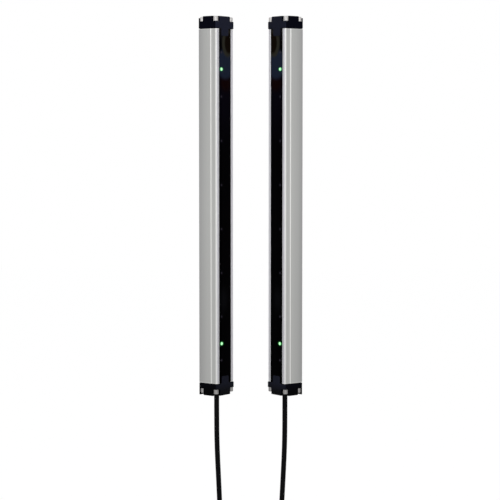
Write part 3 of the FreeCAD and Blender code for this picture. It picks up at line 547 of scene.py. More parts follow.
def two_tones(tree, mask, color, low, high):
    """A colour that varies between a darker and a lighter shade of itself."""
    return mix_color(tree, mask, shade(color, low), shade(color, high))


def scaled_color(tree, color, level):
    """A colour socket multiplied by a level."""
    return vector_math(tree, "MULTIPLY", color, vector(tree, level, level, level))


# %% [markdown]
# ### Anodised aluminium
#
# The section is drawn through a die, so faint lines run along it, and then etched and anodised,
# which makes it satin rather than shiny. It is a metal, so nearly all of its look is what it
# reflects. The broad sides take a slightly darker tone towards the rear: painted shade. The two
# lips beside the window are matter, and painted lighter and a little bluer, most towards their
# outer corner: a painted highlight. The section is painted a little darker towards the bottom,
# a painted shade, and lighter along each end, a painted highlight. The rubbed edges are brighter.

# %% Aluminium values
ALUMINIUM = (0.815, 0.82, 0.798)
# painted shade: the darker tone towards the rear of the sides
SHADED_REAR_ALUMINIUM = (0.590, 0.592, 0.592)
# painted highlight: the lighter, bluer tone of the lips
LIP_HIGHLIGHT_ALUMINIUM = (0.835, 0.828, 0.860)
# painted highlight along the ends, and the colour of the worn edges
HIGHLIGHT_AND_WEAR_ALUMINIUM = (0.95, 0.95, 0.93)
SATIN = 0.38
REAR_START = -4.0 * MM
REAR_CURVE = 1.6
LIP_INSIDE = 11.0 * MM
LIP_OUTSIDE = 15.5 * MM
LIP_FACE = WINDOW_FACE - 0.3 * MM
# painted highlight: the lips lighten towards their outer corner
LIP_HIGHLIGHT_LEVELS = (1.0, 1.14)
LIP_MATTNESS = 0.26
# painted shade: the section a little darker towards the bottom
LOW_SHADE = 0.90
# painted highlight: a lighter band along each end of the section
END_HIGHLIGHT_BAND = 1.6 * MM
END_HIGHLIGHT_SHARE = 0.8
print(f"lips: {LIP_INSIDE / MM:.1f} to {LIP_OUTSIDE / MM:.1f} mm from the bar's middle")

# %% Aluminium


def anodised_aluminium():
    """Satin metal with its own lines, painted shade and painted highlights, and worn edges."""
    material, tree, made = principled("anodised_aluminium", ALUMINIUM, SATIN, Metallic=1.0)
    drawn = use_group(tree, lines, Across=1400.0, Along=2.0)["Lines"]
    own = own_axes(tree)
    # Painted shade: the sides darken towards the rear.
    rearwards = level_between(tree, own["Y"], REAR_START, HALF_DEPTH)
    rear_shade = math_node(tree, "POWER", rearwards, REAR_CURVE)
    side = two_tones(tree, drawn, ALUMINIUM, low=0.94, high=1.06)
    rear = two_tones(tree, drawn, SHADED_REAR_ALUMINIUM, low=0.95, high=1.05)
    tone = mix_color(tree, rear_shade, side, rear)

    # Painted highlight: the lips are lighter and bluer, most towards their outer corner; their
    # mattness is real.
    on_lip = math_node(tree, "LESS_THAN", own["Y"], LIP_FACE)
    outwards = math_node(tree, "ABSOLUTE", own["X"])
    lip = level_between(tree, outwards, LIP_INSIDE, LIP_OUTSIDE, *LIP_HIGHLIGHT_LEVELS)
    lip_highlight_level = math_node(tree, "MULTIPLY_ADD", on_lip, math_node(tree, "SUBTRACT", lip, 1.0), 1.0)
    tone = mix_color(tree, on_lip, tone, LIP_HIGHLIGHT_ALUMINIUM)
    fine = use_group(tree, grain, Scale=2500.0, Middle=SATIN, Spread=0.12)
    matt_lip = math_node(tree, "MULTIPLY", on_lip, LIP_MATTNESS)
    link(tree, math_node(tree, "ADD", fine["Value"], matt_lip), made.inputs["Roughness"])

    # Painted shade: the section darkens towards the bottom.
    low_level = level_between(tree, own["Z"], SECTION_LOW, SECTION_MIDDLE, LOW_SHADE, 1.0)
    tone = scaled_color(tree, tone, math_node(tree, "MULTIPLY", lip_highlight_level, low_level))
    # Painted highlight: a lighter band along each end of the section.
    from_middle = math_node(tree, "SUBTRACT", own["Z"], SECTION_MIDDLE)
    away = math_node(tree, "ABSOLUTE", from_middle)
    half = (SECTION_HIGH - SECTION_LOW) / 2
    end_highlight = level_between(tree, away, half - END_HIGHLIGHT_BAND, half, 0.0, END_HIGHLIGHT_SHARE)
    tone = mix_color(tree, end_highlight, tone, HIGHLIGHT_AND_WEAR_ALUMINIUM)
    rubbed = use_group(tree, wear_and_highlight, Radius=0.3 * MM)["Mask"]
    tone = mix_color(tree, rubbed, tone, HIGHLIGHT_AND_WEAR_ALUMINIUM)
    link(tree, tone, made.inputs["Base Color"])
    add_bump(tree, made, drawn, strength=0.12)
    return material


aluminium = anodised_aluminium()
print("aluminium:", len(aluminium.node_tree.nodes), "nodes")

# %% [markdown]
# ### Cap moulding
#
# The caps are black moulded plastic with a slightly blue cast. The faces beside the window are
# painted a shade lighter and bluer than the sides: a painted sheen. A soft step between the two
# tones follows the bar's own frame, so that it stays on the part from every side. The lower cap
# is painted darker downwards, a painted shade. The upper one has a painted highlight along its
# top, and the edges of both carry a painted highlight.

# %% Cap moulding
CAP_SIDE_COLOR = (0.0009, 0.0010, 0.0042)
# painted sheen: the lighter, bluer faces beside the window
CAP_FRONT_SHEEN_COLOR = (0.0098, 0.0112, 0.0220)
# painted highlight along the top of the upper cap
CAP_TOP_HIGHLIGHT = (0.050, 0.052, 0.062)
# painted highlight along the caps' edges
CAP_EDGE_HIGHLIGHT = (0.025, 0.026, 0.031)
CAP_MATTNESS = 0.45
CAP_SHEEN_STEP = (-11.8 * MM, -12.8 * MM)
CAP_CLOUD = (0.3, 0.7)
CAP_TONES = (0.7, 1.3)
LOW_CAP_FOOT = 4.0 * MM
# painted shade: the lower cap darker downwards
LOW_CAP_SHADE_LEVELS = (0.12, 0.8)
CAP_RIM = 0.8 * MM
TOP_HIGHLIGHT_SHARE = 0.8


def cap_moulding():
    """Black plastic with a painted sheen on its front, a cloudy tone, painted shade and painted
    highlights.
    """
    material, tree, made = principled(
        "cap_moulding", CAP_SIDE_COLOR, CAP_MATTNESS, Specular_IOR_Level=0.03
    )
    fine = grainy_gloss(tree, made, scale=3200.0, middle=CAP_MATTNESS, spread=0.16)
    own = own_axes(tree)
    # Painted sheen: the faces beside the window are lighter and bluer.
    front_sheen = level_between(tree, own["Y"], *CAP_SHEEN_STEP, **SMOOTH)
    tone = mix_color(tree, front_sheen, CAP_SIDE_COLOR, CAP_FRONT_SHEEN_COLOR)
    cloud = use_group(tree, lines)["Cloud"]
    tone = scaled_color(tree, tone, level_between(tree, cloud, *CAP_CLOUD, *CAP_TONES))
    # Painted shade: the lower cap darkens downwards.
    low_level = level_between(tree, own["Z"], LOW_CAP_FOOT, SECTION_LOW, *LOW_CAP_SHADE_LEVELS)
    high = math_node(tree, "GREATER_THAN", own["Z"], SECTION_MIDDLE)
    tone = scaled_color(tree, tone, math_node(tree, "MAXIMUM", low_level, high))
    # Painted highlight along the edges.
    edges = use_group(tree, wear_and_highlight, Radius=0.5 * MM)["Mask"]
    tone = mix_color(tree, edges, tone, CAP_EDGE_HIGHLIGHT)
    # Painted highlight along the top of the upper cap.
    top_highlight = level_between(tree, own["Z"], CAP_TOP - CAP_RIM, CAP_TOP, 0.0, TOP_HIGHLIGHT_SHARE)
    tone = mix_color(tree, top_highlight, tone, CAP_TOP_HIGHLIGHT)
    link(tree, tone, made.inputs["Base Color"])
    add_bump(tree, made, fine["Mask"], strength=0.25)
    return material


cap_plastic = cap_moulding()
print("caps:", len(cap_plastic.node_tree.nodes), "nodes")

# %% [markdown]
# ### Tinted window
#
# The window passes infrared and looks black. Light from the room still shows in it faintly, and
# round a lit indicator the plastic carries a green glow. The tones near its upper end are painted
# reflections, soft patches in the bar's own frame: a brown oval with a lighter rim, a blue-grey
# stretch under it and a dark red one below that. Fainter painted reflections give the upper half
# a blue cast and the lower half a pale spot. Small dots mark the zones of the beams.

# %% Tinted window values
WINDOW_COLOR = (0.0004, 0.0003, 0.0006)
WINDOW_GLOSS = 0.07
INDICATOR_X = -5.9 * MM
INDICATOR_OFFSET = 158.7 * MM
INDICATOR_HEIGHTS = (SECTION_MIDDLE - INDICATOR_OFFSET, SECTION_MIDDLE + INDICATOR_OFFSET)
ZONE_PITCH = 50.9 * MM
FIRST_ZONE = SECTION_MIDDLE - 3.5 * ZONE_PITCH
ZONE_DOT_COLOR = (0.0320, 0.0290, 0.0400)
ZONE_DOT_RADII = (1.8 * MM, 0.8 * MM)
FLAT = 1.0

# each painted reflection: x and z of its centre, half width and half height in mm, core, colour
WINDOW_REFLECTIONS = (
    ((0.0, 348.0), (30.0, 75.0), 0.0, (0.0018, 0.0012, 0.0036)),
    ((0.0, 424.0), (14.0, 18.0), 0.4, (0.0090, 0.0085, 0.0100)),
    ((2.0, 362.0), (15.0, 13.0), 0.3, (0.0050, 0.0010, 0.0012)),
    ((1.0, 384.0), (19.0, 20.0), 0.66, (0.0110, 0.0155, 0.0300)),
    ((5.5, 408.0), (11.5, 17.5), 0.76, (0.0230, 0.0220, 0.0165)),
    ((7.8, 408.5), (8.5, 13.5), 0.74, (0.0050, 0.0029, 0.0015)),
    ((-2.0, 112.0), (12.0, 22.0), 0.1, (0.0028, 0.0028, 0.0036)),
)
# each glow: half width and half height in mm, core, colour
GLOWS = (((5.8, 4.6), 0.1, (0.001, 0.020, 0.006)), ((3.8, 2.4), 0.6, (0.06, 0.36, 0.09)))
print("indicators at z =", [round(height / MM, 1) for height in INDICATOR_HEIGHTS], "mm")

# %% Patches and dots on the window


def window_patch(tree, x, z, size, core):
    """A soft spot on the window's face."""
    middle = (x, WINDOW_FACE, z)
    extent = (size[0] * MM, FLAT, size[1] * MM)
    return use_group(tree, patch, Centre=middle, Size=extent, Core=core)["Mask"]


def zone_dots(tree):
    """A small mark for each zone."""
    own = own_axes(tree)
    height = math_node(tree, "SUBTRACT", own["Z"], FIRST_ZONE)
    from_dot = math_node(tree, "WRAP", height, ZONE_PITCH / 2, -ZONE_PITCH / 2)
    across = math_node(tree, "SUBTRACT", own["X"], INDICATOR_X)
    away = vector_math(tree, "LENGTH", vector(tree, across, from_dot))
    return level_between(tree, away, *ZONE_DOT_RADII, **SMOOTH)


# %% Tinted window


def tinted_window():
    """Black plastic with painted reflections, zone dots and a glow round each indicator."""
    material, tree, made = principled(
        "tinted_window", WINDOW_COLOR, WINDOW_GLOSS, Specular_IOR_Level=0.004
    )
    grainy_gloss(tree, made, scale=700.0, middle=WINDOW_GLOSS, spread=0.05)
    cloud = use_group(tree, lines)["Cloud"]
    tone = two_tones(tree, cloud, WINDOW_COLOR, low=0.4, high=1.8)
    # Painted reflections on the window's face.
    for (x, z), size, core, color in WINDOW_REFLECTIONS:
        spot = window_patch(tree, x * MM, z * MM, size, core)
        tone = mix_color(tree, spot, tone, color)
    tone = mix_color(tree, zone_dots(tree), tone, ZONE_DOT_COLOR)
    link(tree, tone, made.inputs["Base Color"])
    glow = (0.0, 0.0, 0.0)
    for size, core, color in GLOWS:
        for height in INDICATOR_HEIGHTS:
            spot = window_patch(tree, INDICATOR_X, height, size, core)
            glow = mix_color(tree, spot, glow, color)
    link(tree, glow, made.inputs["Emission Color"])
    made.inputs["Emission Strength"].default_value = 1.0
    return material


window_tint = tinted_window()
print("window:", len(window_tint.node_tree.nodes), "nodes")

# %% [markdown]
# ### Lit indicator
#
# An indicator is a green light guide with a lamp behind it, so it gives light of its own: nearly
# white where the lamp is, and a deeper green at its rim. A patch round each indicator's centre
# mixes the two colours.

# %% Lit indicator
GUIDE_GREEN = (0.10, 0.45, 0.16)
RIM_GREEN = (0.02, 0.22, 0.04)
CENTRE_GREEN = (0.60, 1.0, 0.60)
CENTRE_SIZE = (2.25, 2.25)
CENTRE_CORE = 0.35
GUIDE_GLOSS = 0.3


def lit_green():
    """A green that glows, brightest at each indicator's centre."""
    material, tree, made = principled("green_indicator", GUIDE_GREEN, GUIDE_GLOSS)
    grainy_gloss(tree, made, scale=1800.0, middle=GUIDE_GLOSS, spread=0.1)
    color = RIM_GREEN
    for height in INDICATOR_HEIGHTS:
        spot = window_patch(tree, INDICATOR_X, height, CENTRE_SIZE, CENTRE_CORE)
        color = mix_color(tree, spot, color, CENTRE_GREEN)
    link(tree, color, made.inputs["Emission Color"])
    made.inputs["Emission Strength"].default_value = 1.0
    return material


indicator_green = lit_green()
print("indicators:", len(indicator_green.node_tree.nodes), "nodes")

# %% [markdown]
# ### Plain finishes
#
# The other pieces are rubber, plastic, foam, plated metal or circuit board. They share one
# recipe: a fine grain varies the gloss and the tone and raises a slight bump. Handled pieces get
# worn edges too. The lower screws are painted darker towards the bottom: painted shade. One row
# of numbers then makes each finish.

# %% The recipe for a grained finish
GRAIN_TONES = (0.85, 1.15)


def grained(name, color, roughness, scale, spread, bump, worn=None, low_level=None, **values):
    """A plastic, rubber or metal with a fine grain in its gloss, its tone and its surface; worn
    edges and painted shade low down if asked.
    """
    material, tree, made = principled(name, color, roughness, **values)
    fine = grainy_gloss(tree, made, scale, roughness, spread)
    tone = two_tones(tree, fine["Mask"], color, *GRAIN_TONES)
    if worn:
        tone = mix_color(tree, use_group(tree, wear_and_highlight)["Mask"], tone, worn)
    # Painted shade: darker towards the bottom.
    if low_level:
        height = own_axes(tree)["Z"]
        level = level_between(tree, height, SECTION_LOW, SECTION_MIDDLE, low_level, 1.0)
        tone = scaled_color(tree, tone, level)
    link(tree, tone, made.inputs["Base Color"])
    add_bump(tree, made, fine["Mask"], bump)
    return material


# %% Plain finishes
DULL = {"Specular_IOR_Level": 0.15}
METAL = {"Metallic": 1.0}
JACKET = {"Specular_IOR_Level": 0.07}
# painted shade: the lower screws darker towards the bottom
PLATED = {"worn": (0.86, 0.85, 0.83), "low_level": 0.5, **METAL}
HANDLED = {"worn": (0.012, 0.012, 0.015), "Specular_IOR_Level": 0.12}
TURNED = {"worn": (0.84, 0.78, 0.66), **METAL}

# each row: colour, roughness, scale and spread of the grain, bump, and what else it has
PLAIN_FINISHES = {
    "gasket_rubber": ((0.004, 0.004, 0.005), 0.75, 2500.0, 0.10, 0.20, DULL),
    "seal_foam": ((0.006, 0.006, 0.006), 0.90, 4000.0, 0.10, 0.30, DULL),
    "zinc_plated_steel": ((0.74, 0.72, 0.71), 0.34, 5000.0, 0.16, 0.15, PLATED),
    "black_rail": ((0.015, 0.015, 0.015), 0.60, 2800.0, 0.10, 0.20, {}),
    "cord_jacket": ((0.0006, 0.0006, 0.0012), 0.40, 1800.0, 0.10, 0.06, JACKET),
    "plug_moulding": ((0.0030, 0.0030, 0.0042), 0.50, 2600.0, 0.14, 0.20, HANDLED),
    "nickel_plated_brass": ((0.70, 0.67, 0.61), 0.28, 4200.0, 0.12, 0.15, TURNED),
    "plug_insert_plastic": ((0.02, 0.02, 0.02), 0.55, 2600.0, 0.10, 0.20, {}),
    "gold_contact": ((0.90, 0.66, 0.30), 0.20, 5200.0, 0.08, 0.10, METAL),
    "circuit_board": ((0.02, 0.13, 0.06), 0.40, 1500.0, 0.15, 0.20, {}),
    "connector_plastic": ((0.02, 0.02, 0.02), 0.50, 2600.0, 0.10, 0.20, {}),
    "core_insulation": ((0.20, 0.20, 0.20), 0.50, 1900.0, 0.10, 0.20, {}),
    "clear_lens": ((0.55, 0.57, 0.58), 0.12, 1200.0, 0.04, 0.05, {}),
    "diode_resin": ((0.07, 0.05, 0.09), 0.15, 1600.0, 0.05, 0.05, {}),
    "zone_light_guide": ((0.06, 0.06, 0.07), 0.30, 1600.0, 0.08, 0.10, {}),
}
finishes = {
    "aluminium": aluminium,
    "caps": cap_plastic,
    "window": window_tint,
    "lit": indicator_green,
}
for name, (*numbers, more) in PLAIN_FINISHES.items():
    finishes[name] = grained(name, *numbers, **more)
print(len(PLAIN_FINISHES), "plain finishes")

# %% Which finish each piece has
FINISH_NAMES = {
    "profile": "aluminium",
    "window": "window",
    "window_seal": "seal_foam",
    "top_cap": "caps",
    "bottom_cap": "caps",
    "top_gasket": "gasket_rubber",
    "bottom_gasket": "gasket_rubber",
    "top_screws": "zinc_plated_steel",
    "bottom_screws": "zinc_plated_steel",
    "optics_rail": "black_rail",
    "lens_strip": "clear_lens",
    "beam_diodes": "diode_resin",
    "beam_board": "circuit_board",
    "control_board": "circuit_board",
    "board_headers": "connector_plastic",
    "cord_terminal": "connector_plastic",
    "core_bundle": "core_insulation",
    "status_indicators": "lit",
    "zone_indicators": "zone_light_guide",
    "cord_grommet": "gasket_rubber",
    "cord_clamp": "connector_plastic",
    "cord": "cord_jacket",
    "plug_body": "plug_moulding",
    "plug_collar": "nickel_plated_brass",
    "plug_insert": "plug_insert_plastic",
    "plug_pins": "gold_contact",
}


def finish_of(node):
    """The material for a node, whichever bar it is on."""
    return finishes[FINISH_NAMES[node.split("_", 1)[1]]]


for name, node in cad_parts.items():
    node.data.materials.clear()
    node.data.materials.append(finish_of(name))
print(f"{len(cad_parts)} nodes finished")

# %% [markdown]
# ## Softened copies of the section, the window and the caps
#
# Real parts have no knife edges: light catches on the small rounding of each one. A CAD node's
# mesh is loose triangles, so a copy is merged, its flat faces are joined up, and a Bevel modifier
# rounds the sharp edges. A Weighted Normal modifier keeps the broad faces flat under the smooth
# shading. The copy then stands for the CAD node.


def add_piece(name, mesh, node):
    """A finished piece that rides on the body and stands for a CAD node."""
    mesh.name = name
    if not mesh.materials:
        mesh.materials.append(finish_of(node))
    piece = bpy.data.objects.new(name, mesh)
    bpy.context.collection.objects.link(piece)
    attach(piece, BODY)
    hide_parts(node)
    return piece


def evaluated_mesh(holder):
    """The mesh that an object's modifiers give, as plain data; the object goes."""
    depsgraph = bpy.context.evaluated_depsgraph_get()
    mesh = bpy.data.meshes.new_from_object(holder.evaluated_get(depsgraph))
    data = holder.data
    bpy.data.objects.remove(holder)
    bpy.data.meshes.remove(data)
    return mesh


# %% Softening
SHARP = math.radians(30)
FLAT_WITHIN = math.radians(0.5)
MERGE_WITHIN = 0.002 * MM
ROUND_STEPS = 2


def softened(node, width):
    """A copy of a CAD node with its sharp edges rounded."""
    shape = bmesh.new()
    shape.from_mesh(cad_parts[node].data)
    bmesh.ops.remove_doubles(shape, verts=shape.verts, dist=MERGE_WITHIN)
    bmesh.ops.dissolve_limit(
        shape, angle_limit=FLAT_WITHIN, verts=shape.verts, edges=shape.edges
    )
    for face in shape.faces:
        face.smooth = True
    mesh = bpy.data.meshes.new("copy")
    shape.to_mesh(mesh)
    shape.free()
    holder = bpy.data.objects.new("copy", mesh)
    bpy.context.collection.objects.link(holder)
    bevel = holder.modifiers.new("soft_edges", "BEVEL")
    bevel.width = width
    bevel.segments = ROUND_STEPS
    bevel.limit_method = "ANGLE"
    bevel.angle_limit = SHARP
    holder.modifiers.new("flat_faces_stay_flat", "WEIGHTED_NORMAL")
    return evaluated_mesh(holder)


# %% Soften them
SOFT_EDGES = {
    "profile": ("section", 0.12 * MM),
    "window": ("front_window", 0.15 * MM),
    "top_cap": ("upper_cap", 0.25 * MM),
    "bottom_cap": ("lower_cap", 0.25 * MM),
}
for bar in BARS:
    for node, (name, width) in SOFT_EDGES.items():
        made = add_piece(f"{bar}_{name}", softened(f"{bar}_{node}", width), f"{bar}_{node}")
        print(f"{made.name}: {len(made.data.polygons)} faces")

# %% [markdown]
# ## Small parts that repeat
#
# Screws, domes, ribs, pins and a thread all repeat one shape, which is what Geometry Nodes are
# for. A tree has named inputs for its sizes, so the same few nodes would fit another bar. It ends
# by making its instances real and giving them their finish, and the result is kept as plain
# geometry, because an exported model has no instances.

# %% Trees with named inputs
GEOMETRY = "NodeSocketGeometry"
WHOLE = "NodeSocketInt"


def geometry_tree(name, inputs):
    """An empty tree with named inputs for its sizes and counts, and one for its finish."""
    tree = bpy.data.node_groups.new(name, "GeometryNodeTree")
    tree.interface.new_socket("Geometry", in_out="OUTPUT", socket_type=GEOMETRY)
    tree.interface.new_socket("Geometry", in_out="INPUT", socket_type=GEOMETRY)
    for label, start in inputs.items():
        kind = WHOLE if isinstance(start, int) else FLOAT
        tree.interface.new_socket(label, in_out="INPUT", socket_type=kind).default_value = start
    tree.interface.new_socket("Finish", in_out="INPUT", socket_type="NodeSocketMaterial")
    return tree, tree.nodes.new("NodeGroupInput").outputs


def close_tree(tree, entry, geometry):
    """Make instances real and give them the finish."""
    real = add_node(tree, "GeometryNodeRealizeInstances", {"Geometry": geometry})
    inputs = {"Geometry": real.outputs[0], "Material": entry["Finish"]}
    finished = add_node(tree, "GeometryNodeSetMaterial", inputs)
    link(tree, finished.outputs[0], tree.nodes.new("NodeGroupOutput").inputs["Geometry"])
    print(f"{tree.name}: {len(tree.nodes)} nodes")


def grown(tree, finish, **sizes):
    """The plain mesh that a tree makes, smooth but for its sharp edges."""
    holder = bpy.data.objects.new("holder", bpy.data.meshes.new("holder"))
    bpy.context.collection.objects.link(holder)
    modifier = holder.modifiers.new("tree", "NODES")
    modifier.node_group = tree
    wanted = {label.replace("_", " "): size for label, size in sizes.items()}
    wanted["Finish"] = finish
    for item in tree.interface.items_tree:
        if item.in_out == "INPUT" and item.name in wanted:
            modifier[item.identifier] = wanted[item.name]
    mesh = evaluated_mesh(holder)
    mesh.shade_smooth()
    mesh.set_sharp_from_angle(angle=SHARP)
    return mesh


def grow_piece(bar, name, node, tree, place, **sizes):
    """A tree's mesh with its node's finish, put in its place as a piece of a bar."""
    mesh = grown(tree, finish_of(f"{bar}_{node}"), **sizes)
    mesh.transform(place)
    piece = add_piece(f"{bar}_{name}", mesh, f"{bar}_{node}")
    print(f"{piece.name}: {len(mesh.polygons)} faces")
    return piece


# %% Move, join and cut


def negative(tree, value):
    """A number with its sign turned."""
    return math_node(tree, "MULTIPLY", value, -1.0)


def moved(tree, geometry, **changes):
    """A shape that is moved, turned or scaled."""
    return add_node(tree, "GeometryNodeTransform", {"Geometry": geometry, **changes}).outputs[0]


def joined(tree, *shapes):
    """Several shapes as one."""
    join = tree.nodes.new("GeometryNodeJoinGeometry")
    for shape in shapes:
        link(tree, shape, join.inputs[0])
    return join.outputs[0]


def cut(tree, shape, *tools):
    """A closed shape less one or more others."""
    boolean = add_node(
        tree, "GeometryNodeMeshBoolean", {"Mesh 1": shape}, operation="DIFFERENCE", solver="EXACT"
    )
    for tool in tools:
        link(tree, tool, boolean.inputs["Mesh 2"])
    return boolean.outputs["Mesh"]


# %% Cylinder, cone and ball
ROUND_SIDES = 48
SHANK_SIDES = 24


def upright(tree, radius, low, high, sides=ROUND_SIDES):
    """An upright cylinder between two heights, which may be sockets."""
    depth = math_node(tree, "SUBTRACT", high, low)
    middle = math_node(tree, "MULTIPLY", math_node(tree, "ADD", high, low), 0.5)
    inputs = {"Vertices": sides, "Radius": radius, "Depth": depth}
    cylinder = add_node(tree, "GeometryNodeMeshCylinder", inputs)
    return moved(tree, cylinder.outputs["Mesh"], Translation=vector(tree, z=middle))


def tapered(tree, lower_radius, upper_radius, low, depth, sides=ROUND_SIDES):
    """A cone frustum that stands at a height."""
    radii = {"Radius Top": upper_radius, "Radius Bottom": lower_radius}
    cone = add_node(tree, "GeometryNodeMeshCone", {"Vertices": sides, "Depth": depth, **radii})
    return moved(tree, cone.outputs["Mesh"], Translation=vector(tree, z=low))


def ball(tree, radius, segments):
    """A round ball with half as many rings as segments."""
    inputs = {"Segments": segments, "Rings": segments // 2, "Radius": radius}
    return add_node(tree, "GeometryNodeMeshUVSphere", inputs).outputs["Mesh"]


# %% Rows, circles and a shape on every point


def row_of_points(tree, count, offset, **start):
    """Evenly spaced points on a line."""
    inputs = {"Count": count, "Offset": offset, **start}
    return add_node(tree, "GeometryNodeMeshLine", inputs, mode="OFFSET").outputs["Mesh"]


def circle_of_points(tree, count, radius):
    """Evenly spaced points on a circle about z."""
    inputs = {"Vertices": count, "Radius": radius}
    return add_node(tree, "GeometryNodeMeshCircle", inputs).outputs["Mesh"]


def on_points(tree, points, shape, **changes):
    """A copy of a shape on every point."""
    inputs = {"Points": points, "Instance": shape, **changes}
    return add_node(tree, "GeometryNodeInstanceOnPoints", inputs).outputs[0]


# %% [markdown]
# ### Cap screws
#
# Four socket-head screws hold each cap. They sit in open notches at the corners, so their sides
# show: a knurled skirt, a chamfered crown and a hex socket. One screw is built with its crown at
# zero, and a grid of two by two points carries it to the four corners.

# %% Knurl


def knurled(tree, shape, depth):
    """Push every second corner inwards, which gives a fine knurl."""
    index = tree.nodes.new("GeometryNodeInputIndex").outputs[0]
    odd = math_node(tree, "MODULO", index, 2.0)
    inwards = math_node(tree, "MULTIPLY", odd, negative(tree, depth))
    spot = tree.nodes.new("GeometryNodeInputPosition").outputs[0]
    ray = vector_math(tree, "NORMALIZE", vector_math(tree, "MULTIPLY", spot, (1.0, 1.0, 0.0)))
    offset = add_node(
        tree, "ShaderNodeVectorMath", {0: ray, "Scale": inwards}, operation="SCALE"
    )
    inputs = {"Geometry": shape, "Offset": offset.outputs[0]}
    return add_node(tree, "GeometryNodeSetPosition", inputs).outputs[0]


# %% One screw on four corners
ABOVE_CROWN = 1.0 * MM
HEXAGON = 6

screw_set, entry = geometry_tree(
    "screw_set",
    {
        "Across": 27.2 * MM,
        "Through": 19.65 * MM,
        "Head Radius": 2.75 * MM,
        "Head Height": 5.2 * MM,
        "Crown": 0.55 * MM,
        "Socket Radius": 1.6 * MM,
        "Socket Depth": 2.4 * MM,
        "Shank Radius": 1.45 * MM,
        "Length": 21.9 * MM,
        "Knurl": 0.09 * MM,
    },
)
head_low = negative(screw_set, entry["Head Height"])
crown_low = negative(screw_set, entry["Crown"])
socket_low = negative(screw_set, entry["Socket Depth"])
shank_low = negative(screw_set, entry["Length"])
crown_radius = math_node(screw_set, "SUBTRACT", entry["Head Radius"], entry["Crown"])
socket_hole = upright(screw_set, entry["Socket Radius"], socket_low, ABOVE_CROWN, sides=HEXAGON)
skirt = upright(screw_set, entry["Head Radius"], head_low, crown_low)
skirt = cut(screw_set, knurled(screw_set, skirt, entry["Knurl"]), socket_hole)
crown = tapered(screw_set, entry["Head Radius"], crown_radius, crown_low, entry["Crown"])
crown = cut(screw_set, crown, socket_hole)
shank = upright(screw_set, entry["Shank Radius"], shank_low, head_low, sides=SHANK_SIDES)
screw = joined(screw_set, skirt, crown, shank)
corners = add_node(
    screw_set,
    "GeometryNodeMeshGrid",
    {"Size X": entry["Across"], "Size Y": entry["Through"], "Vertices X": 2, "Vertices Y": 2},
)
close_tree(screw_set, entry, on_points(screw_set, corners.outputs["Mesh"], screw))

# %% Put the screws in the caps
SCREW_MIDDLE_Y = -0.525 * MM
HALF_TURN = Matrix.Rotation(math.pi, 4, "X")
for bar, facts in BARS.items():
    for end, node in (("upper", "top_screws"), ("lower", "bottom_screws")):
        low, high = height_of(f"{bar}_{node}")
        middle = Matrix.Translation((0, SCREW_MIDDLE_Y, high if end == "upper" else low))
        place = facts["place"] @ middle @ (Matrix() if end == "upper" else HALF_TURN)
        grow_piece(bar, f"{end}_cap_screws", node, screw_set, place, Length=high - low)

# %% [markdown]
# ### Indicator domes
#
# Two indicators show that the bar is powered and that its beams are clear. Each is a small green
# light guide that comes through the window and ends in a low dome, which spreads its light.

# %% Indicator domes
DOME_SEGMENTS = 32

dome_pair, entry = geometry_tree(
    "dome_pair",
    {"Radius": 2.0 * MM, "Stem": 5.0 * MM, "Dome": 0.45 * MM, "Spacing": 2 * INDICATOR_OFFSET},
)
stem_low = negative(dome_pair, entry["Stem"])
stem = upright(dome_pair, entry["Radius"], stem_low, 0.0, sides=DOME_SEGMENTS)
flatness = math_node(dome_pair, "DIVIDE", entry["Dome"], entry["Radius"])
low_dome = moved(
    dome_pair,
    ball(dome_pair, entry["Radius"], DOME_SEGMENTS),
    Scale=vector(dome_pair, 1.0, 1.0, flatness),
)
spots = row_of_points(dome_pair, 2, vector(dome_pair, y=entry["Spacing"]))
close_tree(dome_pair, entry, on_points(dome_pair, spots, joined(dome_pair, stem, low_dome)))

# %% Put the domes in the windows
TO_FRONT = Matrix.Rotation(math.pi / 2, 4, "X")
for bar, facts in BARS.items():
    lowest = Vector((facts["hand"] * -INDICATOR_X, WINDOW_FACE, INDICATOR_HEIGHTS[0]))
    place = facts["place"] @ Matrix.Translation(lowest) @ TO_FRONT
    grow_piece(bar, "indicator_domes", "status_indicators", dome_pair, place)
    print("lower dome at", [round(value / MM, 1) for value in facts["place"] @ lowest])

# %% [markdown]
# ### Cord bush
#
# A soft bush lines the hole where the cord leaves the lower cap, so that the cap's edge doesn't
# cut the jacket. It is a sleeve with a rounded lip, which stands just inside the cap's face.

# %% Ring
RING_SIDES = 10


def round_path(tree, radius, sides):
    """A circle to sweep along, or to sweep."""
    inputs = {"Resolution": sides, "Radius": radius}
    return add_node(tree, "GeometryNodeCurvePrimitiveCircle", inputs).outputs["Curve"]


def swept(tree, path, section, **more):
    """A section carried along a path."""
    inputs = {"Curve": path, "Profile Curve": section, **more}
    return add_node(tree, "GeometryNodeCurveToMesh", inputs).outputs[0]


def ring(tree, radius, thickness):
    """A round ring about z."""
    path = round_path(tree, radius, ROUND_SIDES)
    return swept(tree, path, round_path(tree, thickness, RING_SIDES))


# %% Cord bush
BUSH_HOLE = (-1.0 * MM, 9.0 * MM)

cord_bush, entry = geometry_tree(
    "cord_bush",
    {"Radius": 4.1 * MM, "Bore": 3.03 * MM, "Length": 5.2 * MM, "Lip": 0.5 * MM},
)
outside = upright(cord_bush, entry["Radius"], entry["Lip"], entry["Length"])
sleeve = cut(cord_bush, outside, upright(cord_bush, entry["Bore"], *BUSH_HOLE))
lip_radius = math_node(cord_bush, "ADD", entry["Bore"], entry["Lip"])
lip_ring = ring(cord_bush, lip_radius, entry["Lip"])
lip = moved(cord_bush, lip_ring, Translation=vector(cord_bush, z=entry["Lip"]))
close_tree(cord_bush, entry, joined(cord_bush, sleeve, lip))

for bar, facts in BARS.items():
    place = Matrix.Translation((facts["axis_x"], 0, 0))
    grow_piece(bar, "cord_bush", "cord_grommet", cord_bush, place)

